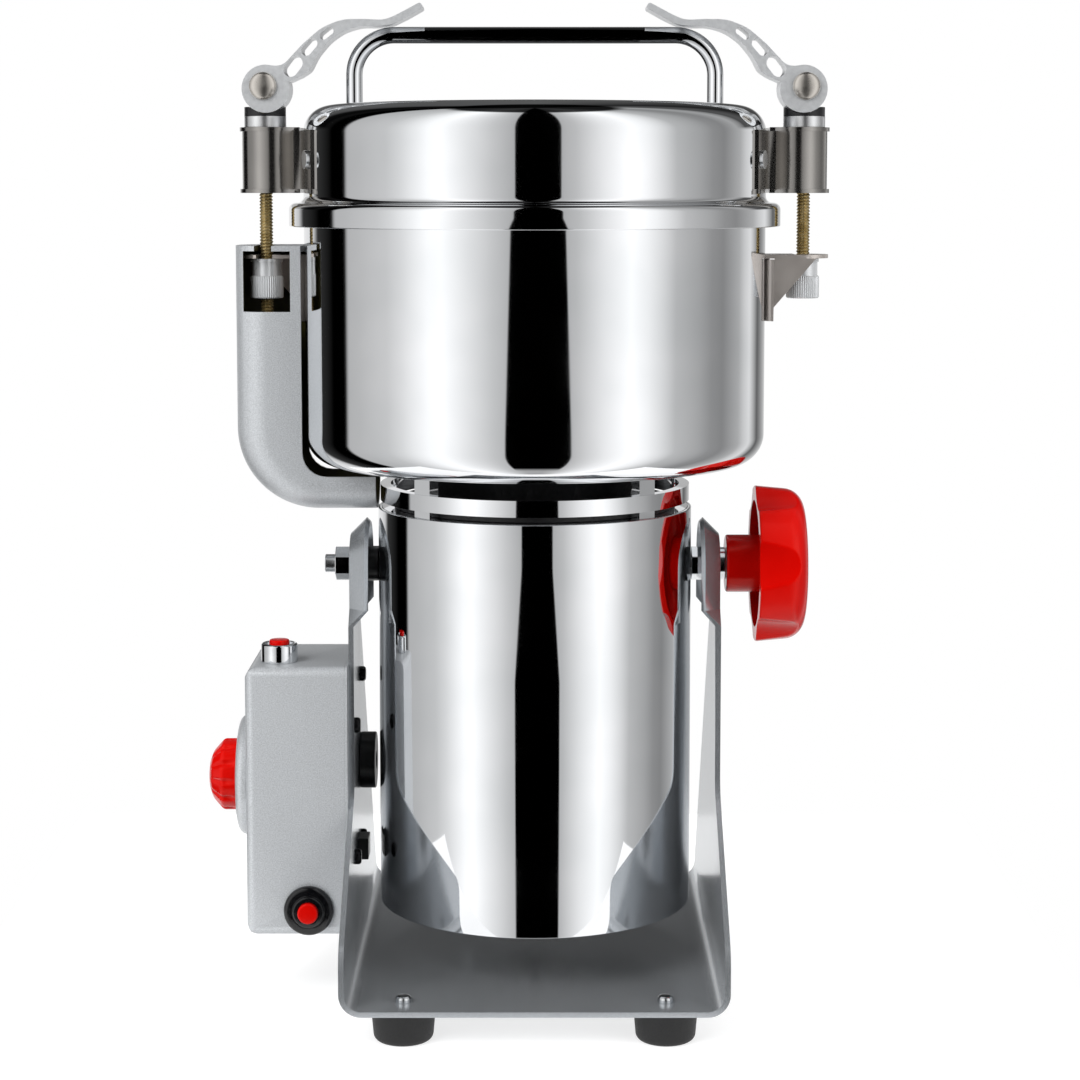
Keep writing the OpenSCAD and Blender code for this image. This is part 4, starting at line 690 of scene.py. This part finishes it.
# Buffed nickel: warmer than steel, and darker than bare nickel partly as painted shade round the drum,
# and glossy enough to show the room's bright and dark sides.
drum_nickel_with_shade = finish("buffed_nickel_painted_shade", ("969390", "a19e9a"), 1, (0.16, 0.2), 30 * MM)
# Brushed chrome is paler than the drum below it and has no hard reflections.
brushed_chrome = finish("brushed_chrome", ("e0e1e2", "e8e9ea"), 1, (0.28, 0.34), 4 * MM)
# Brushed nickel spreads the light, so a pin's dome has one soft bright side.
pin_nickel = finish("brushed_nickel_pin", ("c4bfb8", "cec9c2"), 1, (0.26, 0.32), 4 * MM)
# The drums take the nickel colour darkened by painted shade.
dressed("latch_housings", drum_nickel_with_shade, 0.3 * MM)
dressed("latch_collars", brushed_chrome, 0.3 * MM)
dressed("latch_saddles", nylon, 0.25 * MM)
# Yellow chromate over zinc: a warm gold with dark valleys.
thread_steel = finish("yellow_passivated_steel", ("a8925e", "ccb888"), 0.8, (0.2, 0.3), 4 * MM)
# The real thread's pitch is 1 mm. It is drawn coarser, so that its turns show from a step away.
thread_pitch = 1.4 * MM
thread_depth = 0.6 * MM
rod_r = 3 * MM
pin_r = 4 * MM
pin_head_r = 6.15 * MM
dome_r = 5.95 * MM
dome_h = 2.4 * MM
dome_rim = 0.5 * MM
rod_plain = 3 * MM
rod_tip = 0.4 * MM
rod_end = 0.3 * MM


def threaded(angle, radius, height):
    """A thread: the radius dips and rises once in each pitch, and the dip climbs one pitch a turn."""
    phase = (height / thread_pitch - angle / (2 * math.pi)) % 1
    return np.where(radius > rod_r - slack, radius - thread_depth * (1 - np.abs(2 * phase - 1)), radius)


def joined(name, pieces):
    """The pieces as one mesh object."""
    work = bmesh.new()
    for piece in pieces:
        work.from_mesh(piece.data)
    mesh = bpy.data.meshes.new(name)
    work.to_mesh(mesh)
    work.free()
    for piece in pieces:
        bpy.data.objects.remove(piece)
    smooth(mesh)
    return placed(name, mesh)


for side in ("left", "right"):
    rod_low, rod_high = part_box(side + "_latch_rod")
    rod_x = (rod_low.x + rod_high.x) / 2
    pin_l = rod_high.y - rod_low.y
    pin_z = rod_high.z - pin_head_r
    rod_l = pin_z + pin_r / 2 - rod_low.z
    thread_rows = np.arange(rod_tip, rod_l - rod_plain, thread_pitch / 8)
    sides = np.stack([np.full(len(thread_rows), rod_r), thread_rows], 1)
    rod_outline = np.concatenate([[(0, 0), (rod_r - rod_tip, 0)], sides,
                                  [(rod_r - rod_end, rod_l), (0, rod_l)]])
    rod = turned("rod", rod_outline, (rod_x, axis_y, rod_low.z), "up", threaded, 48, 60)
    # A head is a dome: at share t of the quarter turn it is dome_r sin t wide and dome_h (1 - cos t) deep.
    quarter = np.linspace(0, math.pi / 2, 14)
    dome = np.stack([dome_r * np.sin(quarter), dome_h * (1 - np.cos(quarter))], 1)
    near_end = np.concatenate([dome, [(dome_r, dome_h + dome_rim), (pin_r, dome_h + dome_rim)]])
    pin_outline = np.concatenate([near_end, near_end[::-1] * (1, -1) + (0, pin_l)])
    pin = turned("pin", pin_outline, (rod_x, rod_low.y, pin_z), "back", steps=96)
    rod_faces = len(rod.data.polygons)
    pair = joined(side + "_rod_and_pin", [rod, pin])
    fit(pair, thread_steel, side + "_latch_rod")
    also(pair, pin_nickel, np.arange(len(pair.data.polygons)) >= rod_faces)
    dressed(side + "_latch_lever", cast_aluminium, 0.35 * MM)

# Knurled nuts: turned from aluminium bar on each rod, under the bowl's bracket, with straight teeth
# rolled round their thick end.

# Turned aluminium: pale, with an even soft sheen.
turned_aluminium = finish("turned_aluminium", ("dcdee0", "e2e4e6"), 0.45, (0.24, 0.28), 12 * MM)
flange_r = 6.95 * MM
nut_neck_r = 6.4 * MM
knurl_r = 7.2 * MM
knurl_h = 9.8 * MM
knurl_edge = 0.5 * MM
flange_t = 1.4 * MM
nut_bore_r = rod_r + 0.05 * MM
teeth = 44
tooth_depth = 0.45 * MM


def knurled(angle, radius, height):
    """Straight knurls: teeth cut round the thick end of the nut, with a V between each two."""
    valley = np.abs(np.sin(angle * teeth / 2)) ** 0.8
    return np.where(radius > knurl_r - slack, radius - tooth_depth * (1 - valley), radius)


for side in ("left", "right"):
    rod_low, rod_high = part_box(side + "_latch_rod")
    nut_low, nut_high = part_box(side + "_latch_nut")
    nut_h = nut_high.z - nut_low.z
    knurl_rows = [(knurl_r - knurl_edge, 0), (knurl_r, knurl_edge), (knurl_r, knurl_h - knurl_edge),
                  (knurl_r - knurl_edge, knurl_h)]
    nut_outline = np.array([(nut_bore_r, 0), *knurl_rows, (nut_neck_r, knurl_h),
                            (nut_neck_r, nut_h - flange_t), (flange_r, nut_h - flange_t), (flange_r, nut_h),
                            (nut_bore_r, nut_h)])
    nut = turned(side + "_nut_knurled", nut_outline, ((rod_low.x + rod_high.x) / 2, axis_y, nut_low.z), "up",
                 knurled, teeth * 8, 40)
    fit(nut, turned_aluminium, side + "_latch_nut")
